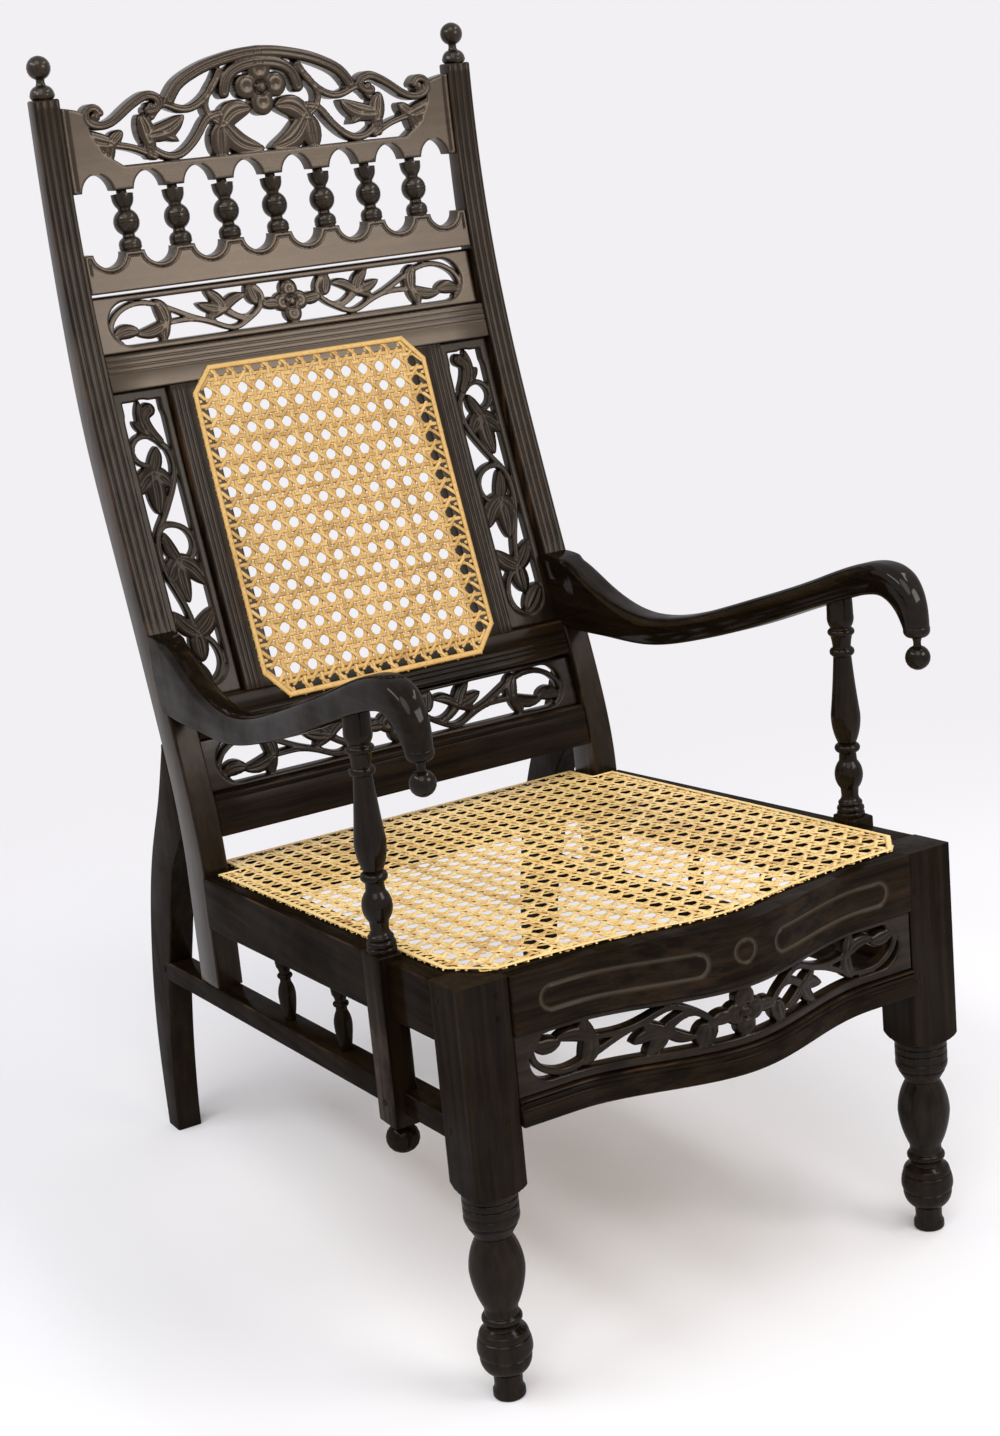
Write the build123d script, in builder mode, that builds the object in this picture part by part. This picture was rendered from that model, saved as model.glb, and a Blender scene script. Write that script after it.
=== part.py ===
"""Carved open armchair with a caned seat and back, built as separate joined pieces.

Left and right are as seen from the front. Millimetres, +Z up, +X to the right, +Y to the back.
The floor is Z = 0 and the origin lies under the middle of the chair's bounding box.
Depths are measured back from the front faces of the front legs, and heights from the floor.
"""

import os
from math import atan2, degrees, hypot

from build123d import *

os.makedirs("parts", exist_ok=True)

# ---------------------------------------------------------------- driving dimensions
FRONT_Y = -364.4  # front faces of the front legs
LEG_OUTER = 264.0  # half the width over the front legs
LEG_SIZE = 50.0  # square of the front leg block
LEG_INNER = LEG_OUTER - LEG_SIZE
LEG_BLOCK_FOOT = 199.0
SEAT_FRONT = 395.0  # height of the seat frame at the front legs
SEAT_SLOPE = 0.079  # fall of the seat for each millimetre of depth
RAIL_DEEP = 56.0
RAIL_WIDE = 40.0
REAR_RAIL_DEEP = 50.0
REAR_RAIL_FRONT = 574.0
REAR_RAIL_BACK = 606.0
STRETCHER_TOP = 271.5  # at the front legs, before the slope
STRETCHER_THICK = 22.0
STRETCHER_WIDE = 28.0
STRETCHER_END = 715.0

STILE_OUTER = 255.0
STILE_WIDE = 28.0
STILE_INNER = STILE_OUTER - STILE_WIDE
STILE_FRONT = 557.0  # depth of the stile's front face at the seat
STILE_BACK = 604.0
STILE_TOP = 1137.0
STILE_STRAIGHT = 345.0  # the stile is straight below this height
STILE_FRONT_CURVE = [(573, 440), (600, 520), (656, 680), (706, 840), (731.5, 960), (745, STILE_TOP)]
STILE_BACK_CURVE = [(766, STILE_TOP), (762, 1010), (752, 900), (735, 800), (696, 680), (641, 520)]
STILE_REEDS = (233.5, 241.0, 248.5)
REED_WIDE = 1.6
REED_DEEP = 1.2
REED_FOOT = 600.0  # the stile's reeding stops at the top of the arm

REAR_LEG_BACK = [(628, 484), (664, 410), (695, 358), (720, 306), (745, 229), (765, 126), (768, 0)]
REAR_LEG_FRONT = [(739, 0), (720, 133), (705, 190), (676, 268), (641, 346), (600, 396)]

BACK_RECESS = 2.0  # rails and inner stiles lie just behind the stile faces
FRET_RECESS = 11.0  # the pierced panels lie deeper
FRET_THICK = 12.0
BACK_RAIL_THICK = 26.0
CREST_THICK = 19.0
CANE_THICK = 2.2
INNER_STILE_NEAR = 126.0
INNER_STILE_FAR = 163.0
INNER_STILE_REEDS = (147.5, 152.5, 157.5)
STEM = 5.5  # width of a vine stem
TENDRIL = 4.0

CREST_FOOT = 1040.0
CREST_BAND_TOP = 1064.5
ARCH_NOTCH = 34.0
ARCH_NOTCH_RISE = 18.0
ARCADE_PITCH = 57.0
ARCADE_COUNT = 7
ARCADE_RAIL_FOOT = 938.0
ARCADE_RAIL_TOP = 978.0
ARCADE_DIP = 15.0
UPPER_FRET_FOOT = 875.0
UPPER_FRET_TOP = 934.5
TOP_RAIL_FOOT = 838.0
TOP_RAIL_REEDS = (856.0, 862.0, 868.0)
BOTTOM_RAIL_TOP = 523.0
BOTTOM_RAIL_FOOT = 488.0
BOTTOM_RAIL_REEDS = (494.0, 499.0, 504.0)
LOWER_FRET_FOOT = 430.0
LOWER_FRET_TOP = 484.0
LOWER_RAIL_FOOT = 387.0
CANE_CORNERS = [(117, 852), (140, 826), (141, 536), (117, 508)]

BOW = [(-160, -4), (-80, -22.5), (0, -41), (80, -22.5), (160, -4)]  # plan of the serpentine front
FRONT_RAIL_FOOT = 340.0
FRONT_RAIL_THICK = 38.0
APRON_FOOT = 282.0
APRON_RECESS = 5.0
APRON_THICK = 12.0
FOOT_RAIL_BASE = 257.0
FOOT_RAIL_THICK = 30.0
PANEL_LINE = 3.0
PANEL_DEEP = 1.5

ARM_POST_X = 260.0
ARM_POST_DEPTH = 140.0
ARM_WIDE = 30.0
ARM_ROUND = 9.0  # rounding of the arm's upper edges
ARM_UNDER_ROUND = 3.0
ARM_SECTIONS = [  # depth and height on top of the arm, then underneath, from the stile to the roll
    ((636, 597), (612, 518)),
    ((600, 595), (577, 516)),
    ((540, 571), (522, 517)),
    ((460, 550.5), (447, 519)),
    ((372, 560.5), (359, 536)),
    ((272, 590), (262, 564)),
    ((172, 623), (163, 598)),
    ((105, 646.5), (106, 616)),
    ((70, 653), (80, 622.5)),
    ((38, 646), (60, 620.5)),
    ((21, 626), (49, 611)),
    ((15, 594), (41, 594)),
]
ARM_CENTRE = [(260, 0), (260, 140), (254.5, 300), (246.5, 450), (241, 600), (239, 650)]
ARM_BALL_DEPTH = 28.0
ARM_BALL_TOP = 594.0
POST_BLOCK_INNER = 249.0
POST_BLOCK_OUTER = 274.0
POST_BLOCK_DEPTH = (123.0, 155.0)
POST_BLOCK_FOOT = 229.0
POST_PLATE_TOP = 391.0
POST_BALL_HEIGHT = 213.0
POST_BALL = 13.9
POST_NECK = 7.5

FINIAL_X = STILE_OUTER - STILE_WIDE / 2
FINIAL_DEPTH = 756.0
DOWEL = 4.0
DOWEL_LONG = 14.0
PEG = 3.0
PEG_LONG = 32.0
PEG_PROUD = 0.4
SPINDLE_DEPTHS = (270.0, 399.0)
SPINDLE_FRONT_X = 247.0
SPINDLE_REAR_X = 245.5


# ---------------------------------------------------------------- places
def side_plane(x):
    """A plane seen from the right, with depth along its first axis and height along its second."""
    return Plane(origin=(x, FRONT_Y, 0), x_dir=(0, 1, 0), z_dir=(1, 0, 0))


def plan_plane(height):
    """A level plane with X along its first axis and depth along its second."""
    return Plane(origin=(0, FRONT_Y, height))


FRONT_VIEW = Plane(origin=(0, FRONT_Y - 100, 0), x_dir=(1, 0, 0), z_dir=(0, -1, 0))
VIEW_REACH = 1000.0
SEAT_PLANE = Plane(origin=(0, FRONT_Y, SEAT_FRONT), x_dir=(1, 0, 0), z_dir=(0, SEAT_SLOPE, 1))


def seat_height(depth):
    """Top of the seat frame at a depth."""
    return SEAT_FRONT - SEAT_SLOPE * depth


def stretcher_height(depth):
    """Top of the side stretcher at a depth."""
    return STRETCHER_TOP - SEAT_SLOPE * depth


def side_x(depth):
    """Outer face of the right side rail and stretcher at a depth."""
    return LEG_OUTER - (LEG_OUTER - STILE_OUTER) * depth / STRETCHER_END


STILE_FACE = Spline((STILE_FRONT, STILE_STRAIGHT), *STILE_FRONT_CURVE, tangents=((0, 1), (0, 1)))
STILE_REAR = Spline(*STILE_BACK_CURVE, (STILE_BACK, STILE_STRAIGHT), tangents=((0, -1), (0, -1)))


def across_at(curve, along):
    """The X of a drawn curve where its Y has a value, found by halving."""
    low, high = 0.0, 1.0
    for _ in range(20):
        middle = (low + high) / 2
        if (curve @ middle).Y < along:
            low = middle
        else:
            high = middle
    return (curve @ low).X


def back_depth(height):
    """Depth of the stiles' curved front edge at a height."""
    return across_at(STILE_FACE, height)


# ---------------------------------------------------------------- shared shapes
def save(piece, name):
    """Label a finished piece and write its STEP file."""
    piece.part.label = name
    export_step(piece.part, f"parts/{name}.step")


def save_pair(piece, name):
    """Write a right-hand piece and its mirror image."""
    save(piece, f"{name}_right")
    with BuildPart() as other:
        add(mirror(piece.part, about=Plane.YZ, mode=Mode.PRIVATE))
    save(other, f"{name}_left")


def block(x, depth, height):
    """A box between two X values, two depths and two heights."""
    centre = Pos(sum(x) / 2, FRONT_Y + sum(depth) / 2, sum(height) / 2)
    return centre * Box(x[1] - x[0], depth[1] - depth[0], height[1] - height[0], mode=Mode.PRIVATE)


def rod(length, radius):
    """A round rod that starts at the origin and runs up Z."""
    base = (Align.CENTER, Align.CENTER, Align.MIN)
    return Cylinder(radius, length, align=base, mode=Mode.PRIVATE)


def dowel(x, depth, bottom, top, radius=DOWEL):
    """An upright dowel."""
    return Pos(x, FRONT_Y + depth, bottom) * rod(top - bottom, radius)


def front_peg(x, height):
    """A peg driven straight back through the front leg."""
    return Pos(x, FRONT_Y - PEG_PROUD, height) * Rot(-90, 0, 0) * rod(PEG_LONG, PEG)


def side_peg(x, depth, height):
    """A peg driven inwards from a right-hand outer face."""
    return Pos(x + PEG_PROUD, FRONT_Y + depth, height) * Rot(0, -90, 0) * rod(PEG_LONG, PEG)


def mirrored(solid):
    """The left-hand copy of a right-hand solid."""
    return mirror(solid, about=Plane.YZ, mode=Mode.PRIVATE)


def turned(profile):
    """Turn steps of (radius, height) on the Z axis; a third value bows the step outwards."""
    with BuildPart() as turning:
        with BuildSketch(Plane.XZ):
            with BuildLine():
                start = (0, profile[0][1])
                for radius, height, *bow in profile:
                    if bow:
                        SagittaArc(start, (radius, height), -bow[0])
                    else:
                        Line(start, (radius, height))
                    start = (radius, height)
                Polyline(start, (0, start[1]), (0, profile[0][1]))
            make_face()
        revolve(axis=Axis.Z)
    return turning.part


def back_board(low, high, near, thick):
    """A board between the stiles that follows their curve, for the back's pieces to be cut from."""
    heights = [low + (high - low) * step / 6 for step in range(7)]
    with BuildPart() as board:
        with BuildSketch(side_plane(-STILE_INNER)):
            with BuildLine():
                face = Spline(*[(back_depth(h) + near, h) for h in heights])
                back = Spline(*[(back_depth(h) + near + thick, h) for h in heights])
                Line(face @ 0, back @ 0)
                Line(face @ 1, back @ 1)
            make_face()
        extrude(amount=2 * STILE_INNER)
    return board.part


def bowed_board(near, thick, low, high):
    """A board between the front legs that follows the serpentine front."""
    end = BOW[0][1]
    with BuildPart() as board:
        with BuildSketch(plan_plane(low)):
            with BuildLine():
                for offset_depth in (near, near + thick):
                    points = [(x, depth + offset_depth) for x, depth in BOW]
                    curve = Spline(*points, tangents=((1, 0), (1, 0)))
                    Line((-LEG_INNER, end + offset_depth), curve @ 0)
                    Line(curve @ 1, (LEG_INNER, end + offset_depth))
                for side in (-LEG_INNER, LEG_INNER):
                    Line((side, end + near), (side, end + near + thick))
            make_face()
        extrude(amount=high - low)
    return board.part


def reed(x, low, high, recess=0.0):
    """A thin upright strip through a face of the back, for the groove beside a reed."""
    heights = [low + (high - low) * step / 5 for step in range(6)]
    with BuildPart() as groove:
        with BuildSketch(side_plane(x - REED_WIDE / 2)):
            with BuildLine():
                near = Spline(*[(back_depth(h) - REED_DEEP, h) for h in heights])
                bed = Spline(*[(back_depth(h) + recess + REED_DEEP, h) for h in heights])
                Line(near @ 0, bed @ 0)
                Line(near @ 1, bed @ 1)
            make_face()
        extrude(amount=REED_WIDE)
    return groove.part


def level_reed(height):
    """A level groove across a back rail."""
    near = back_depth(height)
    depth = (near - REED_DEEP, near + BACK_RECESS + REED_DEEP)
    return block((-STILE_INNER, STILE_INNER), depth, (height, height + REED_WIDE))


def leaf(base, tip, width):
    """A pointed leaf between two points of the current sketch."""
    with BuildLine() as edge:
        SagittaArc(base, tip, width / 2)
        SagittaArc(tip, base, width / 2)
    make_face(edge.edges())


def stem(points, width=STEM):
    """A vine stem through some points of the current sketch."""
    with BuildLine() as line:
        Spline(*points)
    trace(line.edges(), line_width=width)


def spot(x, y, radius):
    """A round bud or petal in the current sketch."""
    with Locations((x, y)):
        Circle(radius)


# ---------------------------------------------------------------- joints shared by two pieces
SIDE_RAIL_TENONS = [block((237, 247), (22, 60), (345, 388)), block((236, 246), (540, 580), (305, 338))]
STRETCHER_TENONS = [block((244, 254), (22, 60), (250, 262)), block((236, 246), (690, 724), (200, 209))]
FRONT_RAIL_TENON = block((190, 236), (7, 17), (350, 388))
FOOT_RAIL_TENON = block((190, 236), (6, 16), (261, 277))
REAR_RAIL_TENON = block((200, 241), (584, 594), (305, 338))
ARM_TENON = block((236, 246), (585, 632), (540, 566))
BACK_TENON_LONG = 14.0
BACK_TENON_THICK = 8.0
BACK_TENON_HEIGHTS = {
    "crest_rail": (1075.0, 1110.0),
    "arcade_rail": (943.0, 960.0),
    "back_top_rail": (845.0, 868.0),
    "back_bottom_rail": (494.0, 517.0),
    "lower_back_rail": (393.0, 424.0),
}


def back_tenon(name):
    """The right-hand tenon of a back rail."""
    low, high = BACK_TENON_HEIGHTS[name]
    near = back_depth((low + high) / 2) + BACK_RECESS + BACK_TENON_THICK
    reach = STILE_INNER + BACK_TENON_LONG
    return block((STILE_INNER - 5, reach), (near, near + BACK_TENON_THICK), (low, high))


FRONT_PEGS_LEFT = [front_peg(-226, 380), front_peg(-226, 360), front_peg(-226, 265)]
FRONT_PEGS_RIGHT = [front_peg(222, 357), front_peg(220, 268)]
LEG_SIDE_PEGS = [side_peg(LEG_OUTER, 38, 377), side_peg(LEG_OUTER, 38, 256)]
STRETCHER_PEGS = [side_peg(POST_BLOCK_OUTER, ARM_POST_DEPTH, 250), side_peg(STILE_OUTER, 713, 204.5)]

# ---------------------------------------------------------------- stiles, finials and rear legs
stile_cuts = [reed(x, REED_FOOT, STILE_TOP + 1) for x in STILE_REEDS]
stile_cuts += [back_tenon(name) for name in BACK_TENON_HEIGHTS]
stile_cuts += [SIDE_RAIL_TENONS[1], REAR_RAIL_TENON, ARM_TENON]
stile_cuts += [dowel(FINIAL_X, FINIAL_DEPTH, STILE_TOP - DOWEL_LONG, STILE_TOP)]

with BuildSketch(side_plane(STILE_INNER)) as stile_outline:
    with BuildLine():
        add(STILE_FACE)
        Line(STILE_FACE @ 1, STILE_REAR @ 0)
        add(STILE_REAR)
        Polyline(
            STILE_REAR @ 1,
            (STILE_BACK, stretcher_height(STILE_BACK)),
            (STILE_FRONT, stretcher_height(STILE_FRONT)),
            STILE_FACE @ 0,
        )
    make_face()

with BuildPart() as stile:
    extrude(stile_outline.sketch, amount=STILE_WIDE)
    add(stile_cuts, mode=Mode.SUBTRACT)
save_pair(stile, "stile")

finial_shape = turned(
    [
        (DOWEL, -DOWEL_LONG),
        (DOWEL, 0),
        (10, 0),
        (12.5, 6, 1.5),
        (5.5, 14, 1.5),
        (4.6, 20, -0.6),
        (4, 44, 9.5),
    ]
)
with BuildPart() as finial:
    add(Pos(FINIAL_X, FRONT_Y + FINIAL_DEPTH, STILE_TOP) * finial_shape)
save_pair(finial, "finial")

with BuildPart() as rear_leg:
    with BuildSketch(side_plane(STILE_INNER)):
        with BuildLine():
            leg_back = Spline(*REAR_LEG_BACK, tangents=((0.5, -1), (-0.02, -1)))
            Line(leg_back @ 1, REAR_LEG_FRONT[0])
            leg_front = Spline(*REAR_LEG_FRONT, tangents=((-0.05, 1), (-0.6, 1)))
            Line(leg_front @ 1, leg_back @ 0)
        make_face()
        add(stile_outline.sketch_local, mode=Mode.SUBTRACT)
    extrude(amount=STILE_WIDE)
with BuildPart() as pegged_rear_leg:
    add(rear_leg.part)
    add([STRETCHER_TENONS[1], STRETCHER_PEGS[1]], mode=Mode.SUBTRACT)
save_pair(pegged_rear_leg, "rear_leg")

# ---------------------------------------------------------------- front legs
leg_turning = turned(
    [
        (14.7, 0),
        (14.6, 7),
        (12.8, 15, -0.8),
        (13, 23),
        (24.9, 47, 3.4),
        (20.9, 65, 1.6),
        (14.6, 68.5),
        (15.2, 73),
        (15.2, 81, 3.0),
        (15.1, 88),
        (24.9, 124, 1.8),
        (16, 156, 2.2),
        (22.4, 167),
        (21.6, 168.5),
        (23.6, 170),
        (24.8, 177, 0.5),
        (23.8, 178.5),
        (24.8, 180),
        (24.8, LEG_BLOCK_FOOT),
        (37, LEG_BLOCK_FOOT + 13, 3.5),
        (37, SEAT_FRONT),
    ]
)
leg_place = Pos(LEG_OUTER - LEG_SIZE / 2, FRONT_Y + LEG_SIZE / 2, 0)
with BuildPart() as leg_body:
    add(leg_place * leg_turning)
    with BuildSketch():
        with Locations((LEG_OUTER - LEG_SIZE / 2, FRONT_Y + LEG_SIZE / 2)):
            Rectangle(LEG_SIZE, LEG_SIZE)
    extrude(amount=SEAT_FRONT, mode=Mode.INTERSECT)
    split(bisect_by=SEAT_PLANE, keep=Keep.BOTTOM)

leg_cuts = [SIDE_RAIL_TENONS[0], STRETCHER_TENONS[0], FRONT_RAIL_TENON, FOOT_RAIL_TENON, *LEG_SIDE_PEGS]
with BuildPart() as leg_right:
    add(leg_body.part)
    add([*leg_cuts, *FRONT_PEGS_RIGHT], mode=Mode.SUBTRACT)
save(leg_right, "front_leg_right")
with BuildPart() as leg_left:
    add(mirrored(leg_body.part))
    add([*[mirrored(cut) for cut in leg_cuts], *FRONT_PEGS_LEFT], mode=Mode.SUBTRACT)
save(leg_left, "front_leg_left")

# ---------------------------------------------------------------- side rails, stretchers, rear rail
post_block = block((POST_BLOCK_INNER, POST_BLOCK_OUTER), POST_BLOCK_DEPTH, (POST_BLOCK_FOOT, POST_PLATE_TOP))
spindle_places = [
    (SPINDLE_FRONT_X, SPINDLE_DEPTHS[0]),
    (SPINDLE_REAR_X, SPINDLE_DEPTHS[1]),
]
spindle_dowels = [
    dowel(x, depth, stretcher_height(depth) - DOWEL_LONG, seat_height(depth) - RAIL_DEEP + DOWEL_LONG)
    for x, depth in spindle_places
]

with BuildPart() as side_rail:
    with BuildSketch(plan_plane(0)):
        Polygon(
            (side_x(LEG_SIZE), LEG_SIZE),
            (side_x(STILE_FRONT), STILE_FRONT),
            (STILE_INNER, STILE_FRONT),
            (STILE_INNER, REAR_RAIL_FRONT),
            (STILE_INNER - 10, REAR_RAIL_FRONT),
            (side_x(LEG_SIZE) - RAIL_WIDE, LEG_SIZE),
            align=None,
        )
    extrude(amount=SEAT_FRONT)
    with BuildSketch(side_plane(0)):
        Polygon(
            (0, seat_height(0)),
            (VIEW_REACH, seat_height(VIEW_REACH)),
            (VIEW_REACH, seat_height(VIEW_REACH) - RAIL_DEEP),
            (0, seat_height(0) - RAIL_DEEP),
            align=None,
        )
    extrude(amount=LEG_OUTER, mode=Mode.INTERSECT)
    add(SIDE_RAIL_TENONS)
    add([post_block, LEG_SIDE_PEGS[0], *spindle_dowels], mode=Mode.SUBTRACT)
save_pair(side_rail, "side_rail")

with BuildPart() as stretcher:
    with BuildSketch(plan_plane(0)):
        Polygon(
            (side_x(LEG_SIZE), LEG_SIZE),
            (STILE_OUTER, STRETCHER_END),
            (STILE_INNER, STRETCHER_END),
            (side_x(LEG_SIZE) - STRETCHER_WIDE, LEG_SIZE),
            align=None,
        )
    extrude(amount=STRETCHER_TOP)
    with BuildSketch(side_plane(0)):
        Polygon(
            (0, stretcher_height(0)),
            (VIEW_REACH, stretcher_height(VIEW_REACH)),
            (VIEW_REACH, stretcher_height(VIEW_REACH) - STRETCHER_THICK),
            (0, stretcher_height(0) - STRETCHER_THICK),
            align=None,
        )
    extrude(amount=LEG_OUTER, mode=Mode.INTERSECT)
    add(rear_leg.part, mode=Mode.SUBTRACT)
    add(STRETCHER_TENONS)
    add([post_block, LEG_SIDE_PEGS[1], *STRETCHER_PEGS, *spindle_dowels], mode=Mode.SUBTRACT)
save_pair(stretcher, "stretcher")

with BuildPart() as rear_rail:
    add(block((-STILE_INNER, STILE_INNER), (REAR_RAIL_FRONT, REAR_RAIL_BACK), (290, SEAT_FRONT)))
    with BuildSketch(side_plane(-STILE_INNER)):
        Polygon(
            (0, seat_height(0)),
            (VIEW_REACH, seat_height(VIEW_REACH)),
            (VIEW_REACH, seat_height(VIEW_REACH) - REAR_RAIL_DEEP),
            (0, seat_height(0) - REAR_RAIL_DEEP),
            align=None,
        )
    extrude(amount=2 * STILE_INNER, mode=Mode.INTERSECT)
    add([REAR_RAIL_TENON, mirrored(REAR_RAIL_TENON)])
save(rear_rail, "rear_rail")

spindle_length = seat_height(0) - RAIL_DEEP - stretcher_height(0)
spindle_shape = turned(
    [
        (5.2, -2),
        (5.2, 0),
        (8.8, 26, 0.5),
        (5.4, 41, 1.0),
        (5.4, 45),
        (5.4, 50, 2.3),
        (7.6, 57, -0.6),
        (8.6, spindle_length, 0.3),
        (8.6, spindle_length + 2),
    ]
)
for number, (spindle_x, spindle_depth) in enumerate(spindle_places, 1):
    spindle_base = stretcher_height(spindle_depth)
    with BuildPart() as spindle:
        add(Pos(spindle_x, FRONT_Y + spindle_depth, spindle_base) * spindle_shape)
        with BuildSketch(side_plane(0)):
            Polygon(
                (0, stretcher_height(0)),
                (VIEW_REACH, stretcher_height(VIEW_REACH)),
                (VIEW_REACH, seat_height(VIEW_REACH) - RAIL_DEEP),
                (0, seat_height(0) - RAIL_DEEP),
                align=None,
            )
        extrude(amount=LEG_OUTER, mode=Mode.INTERSECT)
        add(spindle_dowels[number - 1])
    save(spindle, f"side_spindle_right_{number}")
    with BuildPart() as left_spindle:
        add(mirrored(spindle.part))
    save(left_spindle, f"side_spindle_left_{number}")

# ---------------------------------------------------------------- serpentine front
with BuildPart() as panel_lines:
    with BuildSketch(FRONT_VIEW):
        with Locations((-111, 367), (111, 367)):
            SlotOverall(153, 24)
            SlotOverall(153 - 2 * PANEL_LINE, 24 - 2 * PANEL_LINE, mode=Mode.SUBTRACT)
        with Locations((0, 371)):
            Circle(12)
            Circle(12 - PANEL_LINE, mode=Mode.SUBTRACT)
    extrude(amount=-VIEW_REACH)
    add(bowed_board(0, PANEL_DEEP, FRONT_RAIL_FOOT, SEAT_FRONT), mode=Mode.INTERSECT)

with BuildPart() as front_rail:
    add(bowed_board(0, FRONT_RAIL_THICK, FRONT_RAIL_FOOT, SEAT_FRONT + 10))
    split(bisect_by=SEAT_PLANE, keep=Keep.BOTTOM)
    add([FRONT_RAIL_TENON, mirrored(FRONT_RAIL_TENON)])
    add([panel_lines.part, *FRONT_PEGS_LEFT[:2], FRONT_PEGS_RIGHT[0]], mode=Mode.SUBTRACT)
save(front_rail, "front_rail")

with BuildPart() as foot_rail:
    add(bowed_board(0, FOOT_RAIL_THICK, FOOT_RAIL_BASE, APRON_FOOT))
    add([FOOT_RAIL_TENON, mirrored(FOOT_RAIL_TENON)])
    add([FRONT_PEGS_LEFT[2], FRONT_PEGS_RIGHT[1]], mode=Mode.SUBTRACT)
save(foot_rail, "front_bottom_rail")


def vine_field(rise):
    """Half of the vine that runs from the middle flower to one end, centred on the field's height."""
    stem(
        [
            (-26, 0),
            (-45, -11.5 * rise),
            (-70, -20 * rise),
            (-95, -9.5 * rise),
            (-125, -3 * rise),
            (-152, -4 * rise),
        ]
    )
    stem(
        [
            (-75, -19 * rise),
            (-95, -9.5 * rise),
            (-118, 1 * rise),
            (-145, 12 * rise),
            (-168, 20.5 * rise),
            (-193, 16 * rise),
            (-205, 2 * rise),
            (-206, -10 * rise),
            (-196, -16 * rise),
            (-187, -9 * rise),
        ]
    )
    stem([(-28, 2 * rise), (-36, 12 * rise), (-46, 20 * rise)], TENDRIL)
    stem([(-82, 2 * rise), (-66, -8 * rise), (-56, -15 * rise)], TENDRIL)
    leaf((-84, 2 * rise), (-108, 13 * rise), 10)
    leaf((-84, 4 * rise), (-98, 25 * rise), 12)
    leaf((-88, 6 * rise), (-52, 12 * rise), 9)
    leaf((-92, 8 * rise), (-96, -12 * rise), 10)
    leaf((-148, -5 * rise), (-154, 20 * rise), 11)
    leaf((-150, -3 * rise), (-158, -25 * rise), 12)
    leaf((-146, -4 * rise), (-190, -11 * rise), 9)
    spot(-45, 15 * rise, 8)
    spot(-25, 0, 8)
    spot(-196, -8 * rise, 7)
    for petal_x, petal_y in ((-9, 9), (-9, -9)):
        spot(petal_x, petal_y, 10)
    spot(0, 14, 9)
    spot(0, -14, 9)


with BuildPart() as apron_view:
    with BuildSketch(FRONT_VIEW):
        with BuildSketch(mode=Mode.PRIVATE) as apron_vine:
            vine_field(-1)
            mirror(about=Plane.YZ)
            scale(by=(200 / 211, 1, 1))
        with Locations((0, (APRON_FOOT + FRONT_RAIL_FOOT) / 2)):
            Rectangle(2 * LEG_INNER, FRONT_RAIL_FOOT - APRON_FOOT)
        with Locations((0, 312.5)):
            SlotOverall(400, 43, mode=Mode.SUBTRACT)
            add(apron_vine.sketch)
    extrude(amount=-VIEW_REACH)
    add(bowed_board(APRON_RECESS, APRON_THICK, APRON_FOOT, FRONT_RAIL_FOOT), mode=Mode.INTERSECT)
save(apron_view, "apron_fret")

# ---------------------------------------------------------------- arms, posts and pendants
ARM_LINE = Spline(*ARM_CENTRE)


def arm_plane(over, under):
    """The plane of an arm section through a point on top of the arm and one underneath."""
    depth = (over[0] + under[0]) / 2
    return Plane(
        origin=(across_at(ARM_LINE, depth), FRONT_Y + depth, (over[1] + under[1]) / 2),
        x_dir=(1, 0, 0),
        z_dir=(0, under[1] - over[1], over[0] - under[0]),
    )


with BuildPart() as arm_body:
    for over, under in ARM_SECTIONS:
        with BuildSketch(arm_plane(over, under)):
            Rectangle(ARM_WIDE, hypot(over[0] - under[0], over[1] - under[1]))
            fillet(vertices().group_by(Axis.Y)[-1], ARM_ROUND)
            fillet(vertices().group_by(Axis.Y)[0], ARM_UNDER_ROUND)
    loft()

arm_post_dowel = dowel(ARM_POST_X, ARM_POST_DEPTH, POST_PLATE_TOP + 150, 620)
pendant_dowel = dowel(ARM_POST_X, ARM_BALL_DEPTH, ARM_BALL_TOP, ARM_BALL_TOP + DOWEL_LONG)
with BuildPart() as arm:
    add(arm_body.part)
    with BuildSketch(side_plane(STILE_INNER - ARM_WIDE)):
        add(stile_outline.sketch_local)
    extrude(amount=3 * ARM_WIDE, mode=Mode.SUBTRACT)
    add(ARM_TENON)
    add([arm_post_dowel, pendant_dowel], mode=Mode.SUBTRACT)
save_pair(arm, "arm")

post_turning = turned(
    [
        (13.6, POST_PLATE_TOP),
        (13.6, 404, 0.5),
        (8.3, 412, -0.8),
        (8.8, 419),
        (8.8, 447, 5.0),
        (8.2, 455.5),
        (8.2, 464.5, 4.2),
        (9.2, 466),
        (14.2, 494, 1.6),
        (8.7, 552, -0.4),
        (8.7, 560.5, 3.3),
        (10.6, 572.5, -0.3),
        (10.6, 579, 2.4),
        (14.4, 592, 0.9),
        (12, 600, 0.8),
        (12, 616),
    ]
)
with BuildPart() as arm_post:
    add(Pos(ARM_POST_X, FRONT_Y + ARM_POST_DEPTH, 0) * post_turning)
    add(arm_body.part, mode=Mode.SUBTRACT)
    add([arm_post_dowel, post_block])
    add(dowel(ARM_POST_X, ARM_POST_DEPTH, POST_BALL_HEIGHT, POST_BLOCK_FOOT, POST_NECK))
    with Locations((ARM_POST_X, FRONT_Y + ARM_POST_DEPTH, POST_BALL_HEIGHT)):
        Sphere(POST_BALL)
    add(STRETCHER_PEGS[0], mode=Mode.SUBTRACT)
save_pair(arm_post, "arm_post")

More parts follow.
